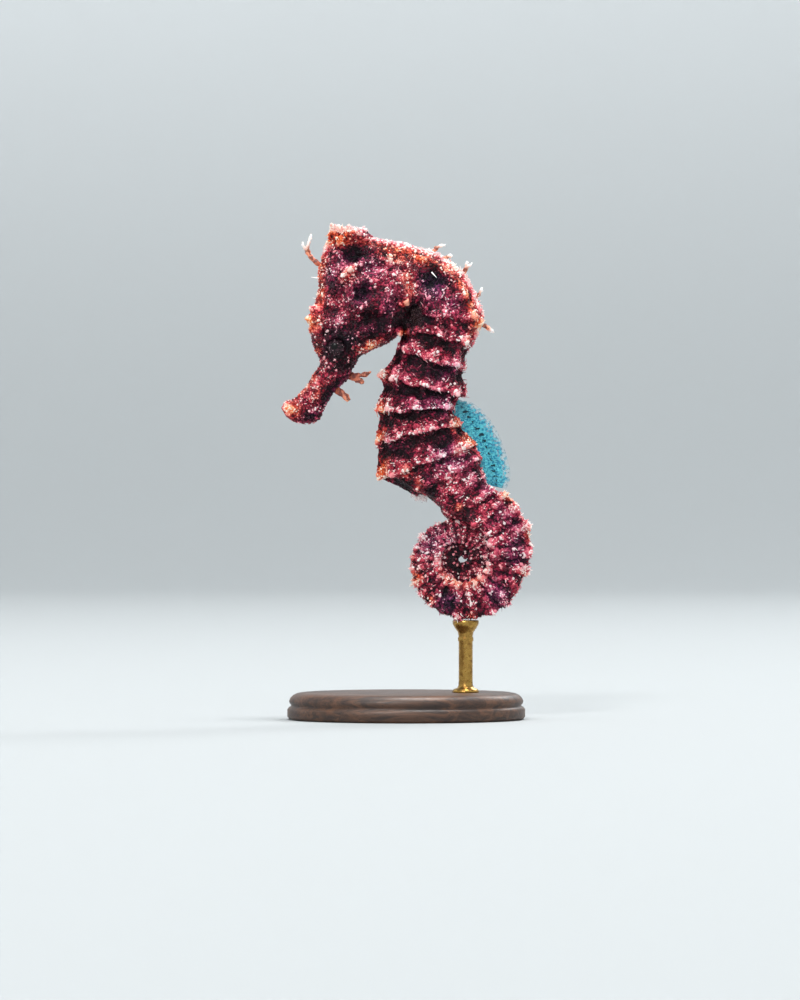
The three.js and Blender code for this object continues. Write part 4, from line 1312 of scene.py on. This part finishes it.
def make_fronds(material):
    """The branched fronds of skin, flattened and clear at the chin, with wavering fingers."""
    for name, fingers in FRONDS.items():
        of_chin = "chin" in name
        bm = bmesh.new()
        for k, (a, b, c, d, root, tip) in enumerate(fingers):
            sway = 0.25 * math.sin(3.1 * k + len(name))
            out = (0, 0, sway, sway * 1.6)
            path = bezier(*[(p[0], y, p[1]) for p, y in zip((a, b, c, d), out)], FROND_STEPS)
            radii = []
            for j in range(FROND_STEPS):
                taper = (1 - j / FROND_STEPS) ** 0.8
                radii.append(tip + (root - tip) * taper + 0.07 * math.sin(j * 2.1 + k))
            radii[10] += 0.05
            grow(bm, path, radii + [tip * 0.6], FROND_SIDES, 0.5 if of_chin else 0.8)
        for vert in bm.verts:
            vert.co += 0.2 * noise.noise_vector(vert.co * 1.9)
        mesh = new_mesh(name, bm, outwards=True)
        points = mesh_points(mesh)
        start = np.array([fingers[0][0][0], 0, fingers[0][0][1]])
        reach = np.linalg.norm(points - start, axis=-1)
        write_points(mesh, to_frame(points))
        add_floats(mesh, "tip", reach / reach.max() * (0.62 if of_chin else 1))
        piece(f"{name}_flesh", mesh, material, "frond_skin", name)


def frond_material():
    n = Nodes("frond_skin")
    tip = n.attribute("tip")
    colour = n.mix(n.ramp(tip, 0.1, 0.6), rgb(168, 70, 40), rgb(236, 150, 116))
    mottle = n.ramp(n.noise(0.6, 3), 0.42, 0.56)
    colour = n.mix(n.times(mottle, n.ramp(tip, 0.55, 0.85, 0.85, 0.1)), colour, rgb(92, 28, 24))
    colour = n.mix(n.ramp(tip, 0.62, 0.88), colour, rgb(255, 244, 240))
    return n.finish(
        Base_Color=colour,
        Roughness=0.5,
        Subsurface_Weight=0.4,
        Subsurface_Radius=(1.0, 0.6, 0.5),
        Subsurface_Scale=0.0008,
        Normal=n.bump(n.noise(0.25, 3), 0.08, 0.6),
    )


# ---- Fins ----

# Lines of x and z along each fin's root and rim.
DORSAL_ROOT = [
    (-2.4, 29.2), (-2.6, 27.4), (-1.2, 24.7), (0.8, 21.4), (2.3, 18.4), (3.4, 15.5), (4.6, 13.8),
]
DORSAL_RIM = [
    (-0.7, 29.6), (2.6, 28.6), (5.4, 25.8), (7.4, 22.2), (8.7, 18.4), (9.2, 15.2), (8.4, 12.9),
]
ANAL_ROOT = [(-8.8, 13.2), (-7.4, 12.9), (-5.9, 12.5)]
ANAL_RIM = [(-9.4, 11.4), (-8.0, 10.5), (-6.3, 10.4)]
PECTORAL_SPREAD = np.radians([-50, -30, -10, 10, 30])
PECTORAL_REACH, PECTORAL_SPLAY = 4.2, 24
SPOT_ROW = 0.52  # how far out the row of dark spots is


def fin_material(name, film_alpha, net, tint, net_tint, dots):
    """A clear film with a paler net and rays, and dark speckle. net and dots are 0 for none."""
    n = Nodes(name)
    uv = n.new("ShaderNodeUVMap", "UV", uv_map="fin")
    across, out, _ = n.parts(uv)
    wave = n.math("ABSOLUTE", n.math("SINE", n.times(across, math.pi)))
    ray = n.ramp(wave, 0.35, 0.05)
    wobble = n.noise(0.7, 3)
    wavy_out = n.plus(out, n.ramp(wobble, 0.35, 0.65, -0.05, 0.05))
    off_row = n.math("ABSOLUTE", n.math("SUBTRACT", wavy_out, SPOT_ROW))
    spots = n.times(n.ramp(wave, 0.75, 0.5), n.ramp(off_row, 0.06, 0.035))
    distance, chance = n.cells(0.22)
    dust = n.times(n.ramp(distance, 0.5, 0.32), n.ramp(chance, 0.35, 0.45, 0.0, 0.8))
    dust = n.times(dust, n.ramp(out, 0.9, 0.6, 0.1, 1.0))
    distance, chance = n.cells(1000, n.stretched(uv, (3.0, 11.0, 1.0)))
    dash = n.times(n.ramp(distance, 0.5, 0.3), n.ramp(chance, 0.4, 0.5))
    dash = n.times(dash, n.ramp(out, 0.95, 0.7, 0.0, dots))
    web = n.times(n.ramp(n.cells(0.42)[0], 0.42, 0.62), 0.7)
    film = n.mix(n.most(n.times(ray, 0.5), web, dash), rgb(*tint), rgb(*net_tint))
    film = n.mix(n.times(dust, dots), film, rgb(0, 86, 104))
    film = n.mix(n.times(spots, dots), film, rgb(0, 44, 58))
    dark = n.times(n.most(spots, dust), dots)
    pale = n.most(n.times(n.most(ray, web), net), n.times(dash, 0.5))
    solid = n.ramp(n.most(pale, dark), 0.0, 1.0, film_alpha, 0.95)
    torn = n.plus(out, n.ramp(wobble, 0.35, 0.65, -0.1, 0.1))
    alpha = n.times(solid, n.ramp(torn, 0.7, 1.0, 1.0, 0.05))
    return n.finish(Base_Color=film, Alpha=alpha, Roughness=0.3, Specular_IOR_Level=0.3)


def fin_mesh(name, root, rim, rays, thickness, ripple, across, along):
    """A fin's closed blade between two lines: a grid that is folded over at the rim."""
    mesh, column, row = grid_mesh(name, across, 2 * along)
    s, t = column / across, 1 - np.abs(row / along - 1)
    low, high = root(s), rim(s)
    out = high - low
    points = low + out * t[:, None]
    points[:, 1] += ripple * np.sin(s * 9 + t * 3) * t
    ray = 0.75 + 0.25 * np.cos(TAU * s * rays)
    closing = np.minimum.reduce([np.ones(len(s)), 12 * s, 12 * (1 - s), 9 * t, 4 * (1 - t)])
    facing = unit(np.cross(out, rim(np.minimum(s + 0.01, 1)) - rim(np.maximum(s - 0.01, 0))))
    points += facing * (np.sign(row - along) * thickness / 2 * ray * closing)[:, None]
    write_points(mesh, to_frame(points))
    layer = mesh.uv_layers[0]
    layer.name = "fin"
    loops = np.empty(len(mesh.loops), np.int32)
    mesh.loops.foreach_get("vertex_index", loops)
    at_loops = np.stack([s * rays, t], -1)[loops]
    layer.uv.foreach_set("vector", at_loops.astype(np.float32).ravel())
    merge(mesh)
    return mesh


def line_through(points):
    """A curve through points of x and z, or of x, y and z."""
    rows = np.array([(p[0], 0, p[1]) if len(p) == 2 else p for p in points], float)
    return lambda s: spline(rows, np.asarray(s) * (len(rows) - 1))


def make_fin(node, root, rim, material, *shape):
    mesh = fin_mesh(f"{node}_film", line_through(root), line_through(rim), *shape)
    piece(f"{node}_film", mesh, material, "fin", node)


def make_fins(film, pale, clear):
    make_fin("dorsal_fin", DORSAL_ROOT, DORSAL_RIM, film, 18, 0.16, 0.22, 180, 40)
    make_fin("anal_fin", ANAL_ROOT, ANAL_RIM, pale, 4, 0.16, 0.05, 40, 16)
    for side, name in ((-1, "pectoral_fin_left"), (1, "pectoral_fin_right")):
        hinge = np.array([-10.4, 4.3 * side, 45.0])
        splay = math.radians(PECTORAL_SPLAY) * side
        ways = []
        for k in PECTORAL_SPREAD:
            level = math.cos(k)
            ways.append(np.array((level * math.cos(splay), level * math.sin(splay), math.sin(k))))
        root, rim = ([hinge + PECTORAL_REACH * share * way for way in ways] for share in (0.3, 1.0))
        make_fin(name, root, rim, clear, 12, 0.12, 0.12, 96, 20)


# ---- Stand ----

# Radius and height: the plinth's as a share of its half length and in fifths of its thickness,
# the pillar's in millimetres from the plinth's top and from the pillar's own.
PLINTH = [
    (0, 0), (0.965, 0), (0.985, 0.15), (1.0, 0.6), (1.0, 1.9), (0.985, 2.35), (0.97, 2.5),
    (0.97, 2.8), (0.98, 3.0), (0.985, 3.4), (0.975, 4.0), (0.95, 4.55), (0.92, 4.85),
    (0.88, 5.0), (0, 5.0),
]
PILLAR_FOOT = [
    (0, -0.2), (2.45, -0.2), (2.5, 0.25), (2.3, 0.6), (1.6, 0.85), (1.35, 1.3), (1.3, 2.2),
]
PILLAR_CUP = [
    (1.3, -3.4), (1.45, -3.1), (1.45, -2.7), (1.3, -2.4), (1.45, -1.6), (2.05, -0.75),
    (2.4, -0.1), (2.45, 0.5), (2.3, 0.62), (1.9, 0.5), (0, 0.45),
]


def wood_material():
    n = Nodes("walnut")
    along = n.stretched(n.place, (0.12, 1.0, 1.0))
    grain, pores = n.noise(1.6, 6, 0.62, 1.2, along), n.noise(0.28, 3, 0.7, 0.0, along)
    colour = n.mix(n.ramp(grain, 0.35, 0.68), rgb(44, 27, 19), rgb(92, 60, 40))
    colour = n.mix(n.ramp(pores, 0.56, 0.68, 0, 0.7), colour, rgb(22, 13, 10))
    return n.finish(
        Base_Color=colour,
        Roughness=n.ramp(pores, 0.3, 0.7, 0.42, 0.55),
        Normal=n.bump(pores, 0.03, 0.5),
        Coat_Weight=0.12,
        Coat_Roughness=0.3,
    )


def brass_material():
    n = Nodes("brass")
    rub = n.noise(0.9, 4, 0.6)
    return n.finish(
        Base_Color=n.mix(n.ramp(rub, 0.4, 0.7), rgb(176, 138, 72), rgb(136, 100, 52)),
        Metallic=1.0,
        Roughness=n.ramp(rub, 0.3, 0.7, 0.22, 0.36),
        Normal=n.bump(n.noise(0.15, 2), 0.01, 0.3),
    )


def turned(profile, steps, merge_within):
    """A profile of radius and height, spun about the upright axis."""
    bm = bmesh.new()
    verts = [bm.verts.new((r, 0, z)) for r, z in profile]
    geom = verts + [bm.edges.new(pair) for pair in zip(verts, verts[1:])]
    spun = {"cent": (0, 0, 0), "axis": (0, 0, 1), "angle": TAU, "steps": steps}
    bmesh.ops.spin(bm, geom=geom, use_merge=True, **spun)
    bmesh.ops.remove_doubles(bm, verts=bm.verts, dist=merge_within)
    return bm


def lathe(name, profile, centre, segments):
    """A closed turned piece from a profile in millimetres, about an upright axis."""
    bm = turned(profile, segments, 1e-4)
    bmesh.ops.recalc_face_normals(bm, faces=bm.faces)
    bmesh.ops.scale(bm, vec=(MM,) * 3, verts=bm.verts)
    bmesh.ops.translate(bm, vec=centre, verts=bm.verts)
    return new_mesh(name, bm)


def make_stand():
    low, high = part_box("stand_base")
    half = [(b - a) / 2 / MM for a, b in zip(low, high)]
    thick = high[2] / MM
    profile = [(r * half[0], z * thick / 5) for r, z in PLINTH]
    mesh = lathe("stand_plinth", profile, (0, 0, 0), 128)
    points = mesh_points(mesh)
    points[:, 1] *= half[1] / half[0]
    write_points(mesh, points)
    piece("stand_plinth", mesh, wood_material(), "stand_wood", "stand_base")
    low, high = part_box("stand_rod")
    top = high[2] / MM
    profile = [(r, thick + z) for r, z in PILLAR_FOOT] + [(r, top + z) for r, z in PILLAR_CUP]
    mesh = lathe("stand_pillar", profile, ((low[0] + high[0]) / 2, 0, 0), 64)
    piece("stand_pillar", mesh, brass_material(), "stand_brass", "stand_rod")


# ---- Studio ----

FLOOR_RADIUS, CURVE_RADIUS, WALL_TOP = 1.3, 0.9, 3.0  # metres
CURVE_STEPS = 16
WASHES = 4
CAMERA_AWAY, SHOWN_HEIGHT, SENSOR = 0.9, 0.185, 36
VIEW_MIDDLE = -0.01125, 0.0109  # x and z from the coil's axis, in metres


def backdrop():
    """A pale bowl, flat in the middle, so every view sees the same seamless ground."""
    profile = [(0, 0), (FLOOR_RADIUS, 0)]
    for k in range(1, CURVE_STEPS + 1):
        bend = k * math.pi / (2 * CURVE_STEPS)
        curve = CURVE_RADIUS * math.sin(bend), CURVE_RADIUS - CURVE_RADIUS * math.cos(bend)
        profile.append((FLOOR_RADIUS + curve[0], curve[1]))
    profile.append((FLOOR_RADIUS + CURVE_RADIUS, WALL_TOP))
    mesh = new_mesh("backdrop", turned(profile, 96, 1e-5))
    mesh.shade_smooth()
    n = Nodes("backdrop_paper")
    height = n.parts(n.place)[2]
    paper = n.mix(n.ramp(height, 0.0, 0.7), rgb(160, 164, 166), rgb(236, 240, 242))
    mesh.materials.append(n.finish(Base_Color=paper, Roughness=0.9, Specular_IOR_Level=0.1))
    show("backdrop", mesh)


def area_light(name, place, size, power, colour, target=(0, 0, 0.05)):
    data = bpy.data.lights.new(name, "AREA")
    data.shape = "DISK"
    data.size, data.energy, data.color = size, power, colour
    obj = show(name, data)
    obj.location = place
    obj.rotation_euler = (Vector(target) - Vector(place)).to_track_quat("-Z", "Y").to_euler()


def studio():
    backdrop()
    area_light("top_sheet", (0.12, -0.05, 1.5), 0.42, 23.0, (1.0, 0.985, 0.96))
    area_light("front_sheet", (-0.55, -1.5, 1.2), 0.35, 16.0, (1.0, 0.985, 0.97))
    area_light("rim_sheet", (0.75, 0.85, 1.0), 0.5, 9.0, (1.0, 1.0, 1.0))
    for k in range(WASHES):
        c, s = math.cos(k * TAU / WASHES), math.sin(k * TAU / WASHES)
        place, target = (1.0 * c, 1.0 * s, 2.6), (2.2 * c, 2.2 * s, 0.5)
        area_light(f"wall_wash_{k}", place, 0.8, 12.0, (0.97, 0.99, 1.0), target)
    world = bpy.data.worlds.new("studio")
    world.use_nodes = True
    sky = world.node_tree.nodes["Background"].inputs
    sky["Color"].default_value = (1.0, 0.98, 0.97, 1)
    sky["Strength"].default_value = 0.08
    bpy.context.scene.world = world
    bpy.context.scene.view_settings.view_transform = "Standard"


def camera():
    """Level, square to the left side, with its middle a little left of and over the coil's."""
    data = bpy.data.cameras.new("camera")
    data.sensor_width = SENSOR
    data.lens = SENSOR * CAMERA_AWAY / SHOWN_HEIGHT
    data.clip_start = 0.01
    obj = show("camera", data)
    x, z = VIEW_MIDDLE
    obj.location = (AXIS.x * MM + x, -CAMERA_AWAY, AXIS.z * MM + z)
    obj.rotation_euler = (math.radians(90), 0, 0)
    bpy.context.scene.camera = obj


# ---- Assembly ----

camera()
studio()
flesh = skin_material()
body, skin = make_skin(flesh)
weight = coat_weight(body, skin)
beads, threads = coat_material("beads", 0.0), coat_material("papillae", 0.16)
make_beads(body, skin, weight, beads)
make_papillae(body, skin, weight, threads)
make_knobs(body, skin, beads)
iris = eye_material()
make_eye("eye_left", -1, iris)
make_eye("eye_right", 1, iris)
frond_skin = frond_material()
make_coronet(skin, flesh, beads, threads)
make_spines(skin, flesh)
make_bristles(frond_skin)
make_fronds(frond_skin)
make_fins(
    fin_material("fin_film", 0.76, 0.12, (0, 132, 166), (92, 208, 220), 1.0),
    fin_material("fin_pale", 0.3, 0.7, (214, 170, 164), (250, 232, 230), 0.0),
    fin_material("fin_clear", 0.02, 0.04, (130, 96, 100), (190, 150, 150), 0.0),
)
make_stand()
